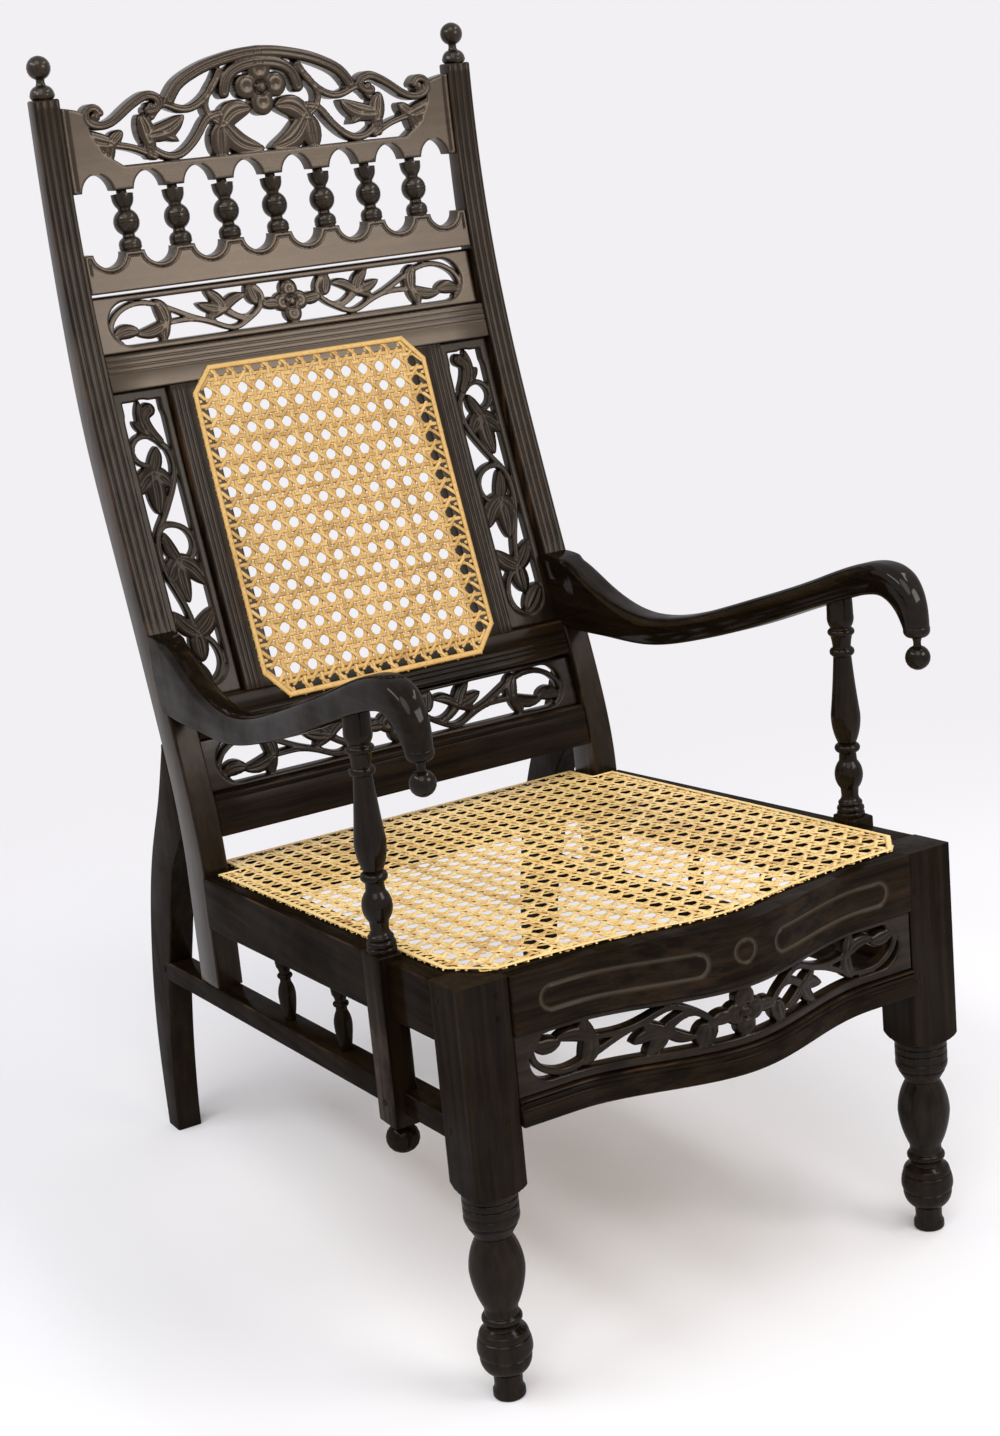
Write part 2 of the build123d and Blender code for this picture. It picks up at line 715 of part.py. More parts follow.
pendant_shape = turned(
    [
        (3.8, ARM_BALL_TOP - 16),
        (3.8, ARM_BALL_TOP - 10),
        (12.5, ARM_BALL_TOP - 5, -1.5),
        (12.5, ARM_BALL_TOP),
        (DOWEL, ARM_BALL_TOP),
        (DOWEL, ARM_BALL_TOP + DOWEL_LONG),
    ]
)
with BuildPart() as pendant:
    add(Pos(ARM_POST_X, FRONT_Y + ARM_BALL_DEPTH, 0) * pendant_shape)
    with Locations((ARM_POST_X, FRONT_Y + ARM_BALL_DEPTH, ARM_BALL_TOP - 25)):
        Sphere(12)
save_pair(pendant, "arm_pendant")

# ---------------------------------------------------------------- back rails, inner stiles and cane
with BuildPart() as cane_back:
    with BuildSketch(FRONT_VIEW):
        Polygon(*CANE_CORNERS, *[(-x, z) for x, z in reversed(CANE_CORNERS)], align=None)
    extrude(amount=-VIEW_REACH)
    add(back_board(500, 860, BACK_RECESS, CANE_THICK), mode=Mode.INTERSECT)
save(cane_back, "cane_back")


def back_rail(name, low, high, cuts):
    """A plain back rail between two heights with a tenon at each end."""
    with BuildPart() as rail:
        add(back_board(low, high, BACK_RECESS, BACK_RAIL_THICK))
        add([back_tenon(name), mirrored(back_tenon(name))])
        add(cuts, mode=Mode.SUBTRACT)
    save(rail, name)


back_rail(
    "back_top_rail",
    TOP_RAIL_FOOT,
    UPPER_FRET_FOOT,
    [cane_back.part, *[level_reed(height) for height in TOP_RAIL_REEDS]],
)
back_rail(
    "back_bottom_rail",
    BOTTOM_RAIL_FOOT,
    BOTTOM_RAIL_TOP,
    [cane_back.part, *[level_reed(height) for height in BOTTOM_RAIL_REEDS]],
)
back_rail("lower_back_rail", LOWER_RAIL_FOOT, LOWER_FRET_FOOT, [level_reed(LOWER_FRET_FOOT - 7)])

inner_reeds = [reed(x, BOTTOM_RAIL_TOP, TOP_RAIL_FOOT, BACK_RECESS) for x in INNER_STILE_REEDS]
with BuildPart() as inner_stile:
    with BuildSketch(FRONT_VIEW):
        Polygon(
            (INNER_STILE_NEAR, BOTTOM_RAIL_TOP),
            (INNER_STILE_FAR, BOTTOM_RAIL_TOP),
            (INNER_STILE_FAR, TOP_RAIL_FOOT),
            (INNER_STILE_NEAR, TOP_RAIL_FOOT),
            align=None,
        )
    extrude(amount=-VIEW_REACH)
    add(back_board(BOTTOM_RAIL_TOP, TOP_RAIL_FOOT, BACK_RECESS, BACK_RAIL_THICK), mode=Mode.INTERSECT)
    add([cane_back.part, *inner_reeds], mode=Mode.SUBTRACT)
save_pair(inner_stile, "inner_stile")

# ---------------------------------------------------------------- arcade
arcade_x = [ARCADE_PITCH * (number - (ARCADE_COUNT - 1) / 2) for number in range(ARCADE_COUNT)]
arcade_middle = (ARCADE_RAIL_TOP + CREST_FOOT) / 2
arcade_depth = back_depth(arcade_middle) + BACK_RECESS + CREST_THICK / 2
arcade_run = back_depth(CREST_FOOT) - back_depth(ARCADE_RAIL_TOP)
arcade_lean = degrees(atan2(arcade_run, CREST_FOOT - ARCADE_RAIL_TOP))
arcade_place = Pos(0, FRONT_Y + arcade_depth, arcade_middle) * Rot(-arcade_lean, 0, 0)
arcade_half = (CREST_FOOT - ARCADE_RAIL_TOP) / 2
arcade_shape = turned(
    [
        (10.5, -arcade_half - 2),
        (10.5, -arcade_half + 0.5),
        (12, -arcade_half + 4, 0.8),
        (7, -arcade_half + 12.5, 0.8),
        (7, -arcade_half + 18),
        (7.4, -arcade_half + 19),
        (7.4, -arcade_half + 42, 6.0),
        (7.6, -arcade_half + 45),
        (11, -arcade_half + 53, -0.8),
        (12, -arcade_half + 58),
        (5.5, -arcade_half + 58),
        (5.5, arcade_half + 2),
    ]
)
arcade_dowel = Pos(0, 0, -arcade_half - DOWEL_LONG) * rod(2 * (arcade_half + DOWEL_LONG), DOWEL)
arcade_dowels = [Pos(x, 0, 0) * arcade_place * arcade_dowel for x in arcade_x]
for number, spindle_x in enumerate(arcade_x, 1):
    with BuildPart() as arcade_spindle:
        add(Pos(spindle_x, 0, 0) * arcade_place * arcade_shape)
        with BuildSketch(plan_plane(ARCADE_RAIL_TOP)):
            with Locations((spindle_x, arcade_depth)):
                Rectangle(ARCADE_PITCH, ARCADE_PITCH)
        extrude(amount=CREST_FOOT - ARCADE_RAIL_TOP, mode=Mode.INTERSECT)
        add(arcade_dowels[number - 1])
    save(arcade_spindle, f"arcade_spindle_{number}")

notch_x = [x + ARCADE_PITCH / 2 for x in arcade_x[:-1]]
notch_x = [notch_x[0] - ARCADE_PITCH, *notch_x, notch_x[-1] + ARCADE_PITCH]
with BuildPart() as arcade_rail:
    with BuildSketch(FRONT_VIEW):
        with Locations((0, (ARCADE_RAIL_FOOT + ARCADE_RAIL_TOP) / 2)):
            Rectangle(2 * STILE_INNER, ARCADE_RAIL_TOP - ARCADE_RAIL_FOOT)
        with Locations([(x, ARCADE_RAIL_TOP) for x in notch_x]):
            Ellipse(ARCH_NOTCH / 2, ARCADE_DIP, mode=Mode.SUBTRACT)
    extrude(amount=-VIEW_REACH)
    add(back_board(ARCADE_RAIL_FOOT, ARCADE_RAIL_TOP, BACK_RECESS, CREST_THICK), mode=Mode.INTERSECT)
    add([back_tenon("arcade_rail"), mirrored(back_tenon("arcade_rail"))])
    add(arcade_dowels, mode=Mode.SUBTRACT)
save(arcade_rail, "arcade_rail")


def arch_notch(x):
    """One pointed notch in the foot of the crest."""
    half = ARCH_NOTCH / 2
    with BuildLine() as edge:
        SagittaArc((x + half, CREST_FOOT - 1), (x, CREST_FOOT + ARCH_NOTCH_RISE), -5)
        SagittaArc((x, CREST_FOOT + ARCH_NOTCH_RISE), (x - half, CREST_FOOT - 1), -5)
        Line((x - half, CREST_FOOT - 1), (x + half, CREST_FOOT - 1))
    make_face(edge.edges(), mode=Mode.SUBTRACT)


with BuildPart() as crest_view:
    with BuildSketch(FRONT_VIEW):
        with BuildLine():
            Polyline((0, 1064.5), (0, CREST_FOOT), (STILE_INNER, CREST_FOOT), (STILE_INNER, 1127))
            ThreePointArc((STILE_INNER, 1127), (212, 1121.5), (200, 1120))
            Spline((200, 1120), (199, 1098), (188, 1075), (165, 1065.5), (150, CREST_BAND_TOP))
            Line((150, CREST_BAND_TOP), (0, CREST_BAND_TOP))
        make_face()
        stem([(0, 1167), (20, 1165.5), (40, 1162), (60, 1157), (80, 1150), (94, 1142), (104, 1126)], 12)
        stem([(0, 1157), (22, 1153), (38, 1143), (44, 1126)], 12)
        stem([(48, 1150), (57, 1133), (70, 1120), (88, 1113), (104, 1118), (110, 1126), (120, 1122)], 8)
        stem([(56, 1108), (66, 1103), (75, 1092), (88, 1078), (105, 1069), (120, 1072), (129, 1084)], 8)
        stem([(70, 1120), (64, 1113), (52, 1102), (44, 1096)], 7)
        stem(
            [
                (110, 1122),
                (116, 1132),
                (130, 1133),
                (150, 1124),
                (172, 1108),
                (186, 1106),
                (195, 1115),
                (193, 1126),
            ],
            9,
        )
        stem([(126, 1070), (150, 1079), (172, 1084)], 7)
        leaf((118, 1090), (86, 1108), 15)
        leaf((116, 1094), (143, 1108), 18)
        leaf((122, 1100), (118, 1126), 16)
        leaf((118, 1096), (104, 1080), 10)
        leaf((124, 1078), (138, 1102), 12)
        leaf((42, 1096), (22, 1112), 16)
        leaf((42, 1096), (-5, 1073), 22)
        leaf((44, 1098), (38, 1062), 20)
        leaf((44, 1098), (60, 1068), 16)
        leaf((170, 1078), (182, 1104), 16)
        leaf((176, 1086), (196, 1118), 16)
        for petal_x, petal_z in ((0, 1143), (15, 1131), (9, 1114)):
            spot(petal_x, petal_z, 10.5)
        spot(188, 1120, 9)
        spot(118, 1118, 7)
        for x in notch_x[ARCADE_COUNT // 2 + 1 :]:
            arch_notch(x)
        mirror(about=Plane.YZ)
    extrude(amount=-VIEW_REACH)

with BuildPart() as crest:
    add(crest_view.part)
    add(back_board(CREST_FOOT, 1176, BACK_RECESS, CREST_THICK), mode=Mode.INTERSECT)
    add([back_tenon("crest_rail"), mirrored(back_tenon("crest_rail"))])
    add(arcade_dowels, mode=Mode.SUBTRACT)
save(crest, "crest_rail")

# ---------------------------------------------------------------- pierced panels of the back
for name, low, high in (
    ("upper_fret", UPPER_FRET_FOOT, UPPER_FRET_TOP),
    ("lower_fret", LOWER_FRET_FOOT, LOWER_FRET_TOP),
):
    with BuildPart() as fret:
        with BuildSketch(FRONT_VIEW):
            with BuildSketch(mode=Mode.PRIVATE) as fret_vine:
                vine_field(1)
                mirror(about=Plane.YZ)
            with Locations((0, (low + high) / 2)):
                Rectangle(2 * STILE_INNER, high - low)
                SlotOverall(422, 45, mode=Mode.SUBTRACT)
                add(fret_vine.sketch)
        extrude(amount=-VIEW_REACH)
        add(back_board(low, high, FRET_RECESS, FRET_THICK), mode=Mode.INTERSECT)
    save(fret, name)

with BuildPart() as side_fret:
    with BuildSketch(FRONT_VIEW):
        with Locations(((STILE_INNER + INNER_STILE_FAR) / 2, (BOTTOM_RAIL_TOP + TOP_RAIL_FOOT) / 2)):
            Rectangle(STILE_INNER - INNER_STILE_FAR, TOP_RAIL_FOOT - BOTTOM_RAIL_TOP)
            SlotOverall(292, 44, rotation=90, mode=Mode.SUBTRACT)
        for loop_z in (775, 685, 595):
            stem([(195, loop_z + 46), (212, loop_z + 20), (213, loop_z - 6), (198, loop_z - 19)])
            stem([(198, loop_z - 19), (181, loop_z - 8), (179, loop_z + 8), (194, loop_z + 16)])
            stem([(198, loop_z - 19), (186, loop_z - 32), (195, loop_z - 46)])
            leaf((187, loop_z - 34), (216, loop_z - 44), 13)
            leaf((194, loop_z - 38), (174, loop_z - 52), 13)
            spot(194, loop_z + 10, 8)
        leaf((195, 812), (195, 832), 16)
        leaf((195, 812), (216, 806), 13)
        leaf((195, 812), (175, 804), 13)
        stem([(195, 552), (190, 540), (200, 528)])
    extrude(amount=-VIEW_REACH)
    add(back_board(BOTTOM_RAIL_TOP, TOP_RAIL_FOOT, FRET_RECESS, FRET_THICK), mode=Mode.INTERSECT)
save_pair(side_fret, "side_fret")

# ---------------------------------------------------------------- caned seat
SEAT_CANE = [(243, 60), (243, 548), (217, 548), (217, 597)]
with BuildPart() as cane_seat:
    with BuildSketch(plan_plane(0)):
        with BuildLine():
            Polyline((165, 18), (213, 20), (232, 45), *SEAT_CANE, (-217, 597))
            Polyline(*[(-x, depth) for x, depth in reversed(SEAT_CANE)], (-232, 45), (-213, 20), (-165, 18))
            Spline((-165, 18), (-100, 10), (-50, -2), (0, -12), (50, -2), (100, 10), (165, 18))
        make_face()
    extrude(amount=VIEW_REACH)
    with BuildSketch(side_plane(-LEG_OUTER)):
        Polygon(
            (-VIEW_REACH, seat_height(-VIEW_REACH)),
            (VIEW_REACH, seat_height(VIEW_REACH)),
            (VIEW_REACH, seat_height(VIEW_REACH) + CANE_THICK),
            (-VIEW_REACH, seat_height(-VIEW_REACH) + CANE_THICK),
            align=None,
        )
    extrude(amount=2 * LEG_OUTER, mode=Mode.INTERSECT)
save(cane_seat, "cane_seat")

# ---------------------------------------------------------------- pegs
with BuildPart() as leg_pegs:
    add([*FRONT_PEGS_LEFT, *FRONT_PEGS_RIGHT, *LEG_SIDE_PEGS, *[mirrored(peg) for peg in LEG_SIDE_PEGS]])
save(leg_pegs, "pegs_front_legs")
with BuildPart() as stretcher_pegs:
    add([*STRETCHER_PEGS, *[mirrored(peg) for peg in STRETCHER_PEGS]])
save(stretcher_pegs, "pegs_stretchers")
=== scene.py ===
"""The finished look of a carved and caned open armchair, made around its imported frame.

Metres, +Z up, +X to the right as seen from the front, +Y to the back.
Outlines are drawn in millimetres: depths back from the front legs' faces and heights from the floor.
"""

from math import atan, atan2, cos, degrees, hypot, pi, radians, sin, sqrt

import bmesh
import bpy
import numpy as np
from mathutils import Matrix, Vector


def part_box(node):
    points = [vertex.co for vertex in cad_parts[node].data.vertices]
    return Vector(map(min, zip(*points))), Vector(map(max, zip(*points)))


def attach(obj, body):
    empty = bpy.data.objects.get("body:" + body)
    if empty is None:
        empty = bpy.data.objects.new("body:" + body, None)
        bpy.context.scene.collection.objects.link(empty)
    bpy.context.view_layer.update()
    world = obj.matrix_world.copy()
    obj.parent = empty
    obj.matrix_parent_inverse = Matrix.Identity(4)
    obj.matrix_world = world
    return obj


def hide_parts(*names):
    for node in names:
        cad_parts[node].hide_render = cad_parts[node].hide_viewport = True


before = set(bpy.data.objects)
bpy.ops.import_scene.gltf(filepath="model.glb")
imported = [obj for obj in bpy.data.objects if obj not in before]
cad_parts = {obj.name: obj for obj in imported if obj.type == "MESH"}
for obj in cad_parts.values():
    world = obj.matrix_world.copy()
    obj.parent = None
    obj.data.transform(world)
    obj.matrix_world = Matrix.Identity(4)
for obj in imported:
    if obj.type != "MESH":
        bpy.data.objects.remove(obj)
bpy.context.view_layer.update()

# ---------------------------------------------------------------- driving dimensions, in millimetres
MM = 0.001
FRONT_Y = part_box("front_leg_right")[0].y
LEG_OUTER = 264.0
LEG_SIZE = 50.0
LEG_INNER = LEG_OUTER - LEG_SIZE
LEG_BLOCK_FOOT = 199.0
SEAT_FRONT = 395.0
SEAT_SLOPE = 0.079
STRETCHER_TOP = 271.5
STRETCHER_END = 715.0
STILE_OUTER = 255.0
STILE_INNER = 227.0
STILE_TOP = 1137.0
STILE_FRONT = 557.0
STILE_BACK = 604.0
REED_FOOT = 600.0
BACK_RECESS = 2.0
FRET_RECESS = 11.0
BACK_RAIL_THICK = 26.0
CREST_FOOT, CREST_BAND_TOP, CREST_TOP = 1040.0, 1064.5, 1175.0
TOP_RAIL_FOOT, BOTTOM_RAIL_TOP = 838, 523
UPPER_FRET_FOOT, LOWER_FRET_FOOT, LOWER_FRET_TOP = 875, 430, 484
INNER_STILE_NEAR, INNER_STILE_FAR = 126, 163
CREST_THICK = 19.0
FRET_THICK = 12.0
RELIEF_PROUD = 1.5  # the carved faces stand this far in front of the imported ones
RELIEF_TALLEST = 7.0
ARCADE_RAIL_TOP = 978.0
ARCADE_RAIL_FOOT = 938.0
ARCADE_PITCH = 57.0
ARCADE_COUNT = 7
ARCH_HALF = 17.0
ARCADE_DIP = 15.0
FRET_ENDS = 211.0  # half the length of a level fret's opening
RAIL_DEEP, RAIL_WIDE = 56, 40
STRETCHER_THICK, STRETCHER_WIDE = 22, 28
REAR_RAIL_FRONT, REAR_RAIL_BACK = 574, 606
FOOT_RAIL_FOOT, FOOT_RAIL_TOP, FOOT_RAIL_THICK = 257, 282, 30
FRONT_RAIL_FOOT = 340
PEG_RADIUS, PEG_LONG, PEG_SUNK = 3.2, 8, 3.6  # sunk is the depth of a peg's middle below the surface
POST_X, POST_DEPTH = 260, 140
BLOCK_FOOT, BLOCK_TOP = 229, 391  # the square lower block of an arm post
BLOCK_INNER, BLOCK_OUTER = 249, 274
BLOCK_FRONT, BLOCK_BACK = 123, 155
EASE = 1.6  # rounding of the boards' edges
REED_WIDE, REED_DEEP = 1.6, 0.8

STILE_FACE_POINTS = [(557, 345), (573, 440), (600, 520), (656, 680), (706, 840), (731.5, 960), (745, 1137)]
STILE_REAR_POINTS = [(766, 1137), (762, 1010), (752, 900), (735, 800), (696, 680), (641, 520), (604, 345)]
LEG_BACK_POINTS = [(628, 484), (664, 410), (695, 358), (720, 306), (745, 229), (765, 126), (768, 0)]
LEG_FRONT_POINTS = [(739, 0), (720, 133), (705, 190), (676, 268), (641, 346), (600, 396)]
BOW_POINTS = [(-160, -4), (-80, -22.5), (0, -41), (80, -22.5), (160, -4)]
ARM_CENTRE = [(260, 0), (260, 140), (254.5, 300), (246.5, 450), (241, 600), (239, 650)]


# ---------------------------------------------------------------- curves of the chair
def walk(line):
    """Distance walked along a line, at each of its points."""
    return np.concatenate([[0], np.cumsum(np.linalg.norm(np.diff(line, axis=0), axis=1))])


def curve_through(points, count, ends=None):
    """A smooth curve through some points, as count evenly spaced points; ends are its end tangents."""
    knots = np.array(points, float)
    run = np.linalg.norm(np.diff(knots, axis=0), axis=1)
    along = walk(knots)
    size = len(knots)
    matrix = np.zeros((size, size))
    target = np.zeros_like(knots)
    for i in range(1, size - 1):
        before, after = run[i - 1], run[i]
        matrix[i, i - 1 : i + 2] = after, 2 * (before + after), before
        rise, fall = (knots[i] - knots[i - 1]) / before, (knots[i + 1] - knots[i]) / after
        target[i] = 3 * (after * rise + before * fall)
    if ends is None:
        matrix[0, :2] = 2, 1
        matrix[-1, -2:] = 1, 2
        target[0] = 3 * (knots[1] - knots[0]) / run[0]
        target[-1] = 3 * (knots[-1] - knots[-2]) / run[-1]
    else:
        matrix[0, 0] = matrix[-1, -1] = 1
        target[0], target[-1] = ends
    slope = np.linalg.solve(matrix, target)
    place = np.linspace(0, along[-1], count)
    i = np.clip(np.searchsorted(along, place, side="right") - 1, 0, size - 2)
    t = ((place - along[i]) / run[i])[:, None]
    span = run[i][:, None]
    return (
        (2 * t**3 - 3 * t**2 + 1) * knots[i]
        + (t**3 - 2 * t**2 + t) * span * slope[i]
        + (3 * t**2 - 2 * t**3) * knots[i + 1]
        + (t**3 - t**2) * span * slope[i + 1]
    )


FINE = 900
STILE_FACE = curve_through(STILE_FACE_POINTS, FINE, ((0, 1), (0, 1)))
STILE_REAR = curve_through(STILE_REAR_POINTS, FINE, ((0, -1), (0, -1)))[::-1]
LEG_BACK = curve_through(LEG_BACK_POINTS, FINE, ((0.45, -0.89), (-0.02, -1)))[::-1]
LEG_FRONT = curve_through(LEG_FRONT_POINTS, FINE, ((-0.05, 1), (-0.51, 0.86)))
BOW = curve_through(BOW_POINTS, FINE, ((1, 0), (1, 0)))
ARM_LINE = curve_through(ARM_CENTRE, FINE)


def back_depth(height):
    """Depth of the stiles' curved front edge at a height."""
    return np.interp(height, STILE_FACE[:, 1], STILE_FACE[:, 0])


def stile_rear(height):
    """Depth of the stiles' back edge at a height."""
    return np.interp(height, STILE_REAR[:, 1], STILE_REAR[:, 0])


def bow_depth(x):
    """Depth of the serpentine front at a place across the chair."""
    return np.interp(x, BOW[:, 0], BOW[:, 1])


def seat_height(depth):
    """Top of the seat frame at a depth."""
    return SEAT_FRONT - SEAT_SLOPE * depth


def stretcher_height(depth):
    """Top of the side stretcher at a depth."""
    return STRETCHER_TOP - SEAT_SLOPE * depth


def side_x(depth):
    """Outer face of the right side rail and stretcher at a depth."""
    return LEG_OUTER - (LEG_OUTER - STILE_OUTER) * depth / STRETCHER_END


def chair(x, depth, height):
    """Points of the chair in metres from millimetres across, back and up."""
    return np.stack(np.broadcast_arrays(x * MM, FRONT_Y + depth * MM, height * MM), axis=-1).astype(float)


# ---------------------------------------------------------------- finishes
class Value:
    """A socket of a finish that takes part in Python arithmetic."""

    def __init__(self, finish, socket):
        self.finish = finish
        self.socket = socket

    def maths(self, operation, first, second=0.0):
        """Add one step of arithmetic to the finish."""
        return self.finish.node("Math", {"operation": operation}, {0: first, 1: second})

    def __add__(self, other):
        return self.maths("ADD", self, other)

    def __sub__(self, other):
        return self.maths("SUBTRACT", self, other)

    def __rsub__(self, other):
        return self.maths("SUBTRACT", other, self)

    def __mul__(self, other):
        return self.maths("MULTIPLY", self, other)

    __radd__ = __add__
    __rmul__ = __mul__

    def steps(self, low, high):
        """0 below low and 1 above high, with a smooth change between."""
        sockets = {"Value": self, "From Min": low, "From Max": high}
        return self.finish.node("MapRange", {"interpolation_type": "SMOOTHSTEP"}, sockets)


class Finish:
    """A finish of the chair, built from nodes."""

    def __init__(self, name, **shader):
        self.material = bpy.data.materials.new(name)
        self.material.use_nodes = True
        self.tree = self.material.node_tree
        self.shader = self.tree.nodes["Principled BSDF"]
        for socket, value in shader.items():
            self.shader.inputs[socket.replace("_", " ").title().replace("Ior", "IOR")].default_value = value

    def node(self, kind, settings, sockets, out=0):
        """Add a node: its settings first, then the values or links of its sockets."""
        made = self.tree.nodes.new("ShaderNode" + kind)
        for key, value in settings.items():
            setattr(made, key, value)
        for key, value in sockets.items():
            self.fill(made.inputs[key], value)
        return Value(self, made.outputs[out])

    def fill(self, socket, value):
        """Link a value to a socket, or set the socket's own value."""
        if isinstance(value, Value):
            self.tree.links.new(value.socket, socket)
        else:
            socket.default_value = value

    def surface(self, **sockets):
        """Feed the shader's sockets that change over the surface."""
        for key, value in sockets.items():
            self.fill(self.shader.inputs[key.replace("_", " ").title()], value)

    def place(self, scale=(1, 1, 1)):
        """The place on the piece, stretched along the grain."""
        place = self.node("TexCoord", {}, {}, out="Object")
        return self.node("Mapping", {}, {"Vector": place, "Scale": scale})

    def noise(self, place, scale, detail):
        """Fine or broad mottling, from 0 to 1."""
        sockets = {"Vector": place, "Scale": scale, "Detail": detail, "Roughness": 0.6}
        return self.node("TexNoise", {}, sockets)

    def kept(self, name):
        """A number kept for each point of the piece."""
        return self.node("Attribute", {"attribute_name": name}, {}, out="Fac")

    def blend(self, first, second, share):
        """A colour between two colours."""
        first, second = [(*c, 1) if isinstance(c, tuple) else c for c in (first, second)]
        return self.node("Mix", {"data_type": "RGBA"}, {0: share, 6: first, 7: second}, out=2)

    def bump(self, height, distance, strength):
        """A surface that rises with a value, by a distance in metres."""
        return self.node("Bump", {}, {"Height": height, "Distance": distance, "Strength": strength})


ACROSS, BACKWARD, UPRIGHT = (0.05, 1, 1), (1, 0.05, 1), (1, 1, 0.05)  # stretch of the noise along the grain
JET = (0.0050, 0.0032, 0.0018)
UMBER = (0.021, 0.0120, 0.0058)
# lighter brown for edge wear and carved crests, which along the board edges is also a painted highlight
RUBBED_AND_HIGHLIGHT = (0.085, 0.043, 0.020)
DUST = (0.085, 0.068, 0.048)
WARM_GLOSS = (1.0, 0.79, 0.61, 1)
RUBBED_GLOSS = (1.0, 0.66, 0.42, 1)
LATHE_GLOSS = 0.14
GRAIN_DEPTH, FIBRE_DEPTH = 0.00018, 0.00012


def ebonised(name, grain, brown, rub_and_highlight, shine, polish=0.16, wax=0.0, dull=0.24, gloss=RUBBED_GLOSS):
    """Ebonised hardwood: near-black stain over brown wood, with the grain along one way.

    brown and rub are how much brown shows in the figure and on the board edges and carved crests; on the
    edges that lighter brown is wear and also a painted highlight; shine and polish are the weight and
    roughness of the clear coat; wax, dull and gloss are the level, roughness and tint beneath.
    """
    finish = Finish(name, specular_ior_level=wax, specular_tint=gloss, coat_roughness=polish)
    fine = finish.noise(finish.place(grain), 950.0, 4.0)
    figure = finish.noise(finish.place(grain), 120.0, 3.0)
    patch = finish.noise(finish.place(), 11.0, 4.0)
    relief, edge, sunk, lathe = [finish.kept(mark) for mark in ("relief", "rubbed_and_highlight", "sunk", "lathe")]
    streaks = (figure * 0.7 + fine * 0.3).steps(0.36, 0.66)
    stain = finish.blend(JET, UMBER, streaks * brown)
    stain = finish.blend(stain, DUST, sunk * (patch * 0.5 + 0.45))
    wear_and_highlight_patches = (patch * 0.6 + figure * 0.4).steps(0.47, 0.66)
    # painted highlight: the lighter brown along the marked board edges is wear and also stands in for a
    # highlight; on the carving's crests it is wear
    colour = finish.blend(stain, RUBBED_AND_HIGHLIGHT, (edge * 0.75 + relief.steps(0.7, 1.0) * 0.25) * wear_and_highlight_patches * rub_and_highlight)
    rough = fine * 0.10 + patch * 0.16 + dull - edge * 0.05
    smooth = (patch * 0.85 + figure * 0.15).steps(0.3, 0.7)
    coat = (smooth * 0.8 + 0.6 + edge * 0.2) * shine + lathe * LATHE_GLOSS
    grain_bump = finish.bump(fine * 0.1 + figure * 0.15 + patch * 5.0, GRAIN_DEPTH, 0.5)
    finish.surface(base_color=colour, roughness=rough, coat_weight=coat, normal=grain_bump)
    return finish.material


def rattan(name, pale, golden, brown, soil):
    """Split cane: glossy bark, fine fibres, strands of different tones and some staining."""
    finish = Finish(name, specular_ior_level=0.4, coat_roughness=0.3, coat_weight=0.12)
    place = finish.place()
    fibre = finish.noise(place, 900.0, 2.0)
    blotch = finish.noise(place, 60.0, 3.0)
    wide = finish.noise(place, 6.5, 3.0)
    tone = finish.kept("tone")
    colour = finish.blend(pale, golden, (tone * 0.45 + blotch * 0.4 + 0.05).steps(0.22, 0.8))
    stained = (tone * 0.2 + blotch * 0.25 + wide * 0.55).steps(0.48, 0.72)
    colour = finish.blend(colour, brown, stained * soil)
    rough = fibre * 0.2 + 0.38
    finish.surface(base_color=colour, roughness=rough, normal=finish.bump(fibre, FIBRE_DEPTH, 0.6))
    return finish.material


WOOD = {
    "across": ebonised("ebonised_across", ACROSS, 0.7, 0.8, 0.10),
    "back": ebonised("ebonised_back", BACKWARD, 0.5, 0.8, 0.07),
    "upright": ebonised("ebonised_upright", UPRIGHT, 0.55, 0.9, 0.13, 0.14),
    "carved": ebonised("ebonised_carving", ACROSS, 0.7, 0.7, 0.26, 0.2, 0.04, 0.2),
    "waxed_across": ebonised("waxed_across", ACROSS, 0.8, 0.4, 0.12, 0.2, 0.56, 0.18, WARM_GLOSS),
    "waxed_upright": ebonised("waxed_upright", UPRIGHT, 0.7, 0.6, 0.12, 0.16, 0.12, 0.22, WARM_GLOSS),
    "waxed_turnings": ebonised("waxed_turnings", UPRIGHT, 0.9, 0.6, 0.35, 0.14, 0.15, 0.24, WARM_GLOSS),
    "arm": ebonised("ebonised_arm", BACKWARD, 0.35, 0.3, 0.28, 0.08),
    "peg": ebonised("ebonised_peg", UPRIGHT, 0.9, 0.9, 0.08),
}
CANE = {
    name: rattan(name + "_strands", *colours, soil)
    for name, colours, soil in (
        ("cane_back", ((0.64, 0.40, 0.13), (0.48, 0.27, 0.062), (0.28, 0.14, 0.03)), 0.5),
        ("cane_seat", ((0.94, 0.68, 0.29), (0.77, 0.49, 0.155), (0.43, 0.21, 0.05)), 0.7),
    )
}


# ---------------------------------------------------------------- mesh helpers
def add_object(name, data):
    """Put a new object into the scene."""
    made = bpy.data.objects.new(name, data)
    bpy.context.scene.collection.objects.link(made)
    return made


def shade(mesh, sharp):
    """Shade a mesh smooth but for its sharp edges."""
    mesh.shade_smooth()
    mesh.set_sharp_from_angle(angle=radians(sharp))


def new_piece(name, points, faces, sharp):
    """A closed mesh piece at its place, with its faces outward."""
    mesh = bpy.data.meshes.new(name)
    mesh.from_pydata(points, [], faces)
    piece = add_object(name, mesh)
    shell = bmesh.new()
    shell.from_mesh(mesh)
    bmesh.ops.recalc_face_normals(shell, faces=shell.faces)
    shell.to_mesh(mesh)
    shell.free()
    shade(mesh, sharp)
    return piece


def points_of(piece):
    """The points of a piece, in metres."""
    flat = np.zeros(len(piece.data.vertices) * 3)
    piece.data.vertices.foreach_get("co", flat)
    return flat.reshape(-1, 3)


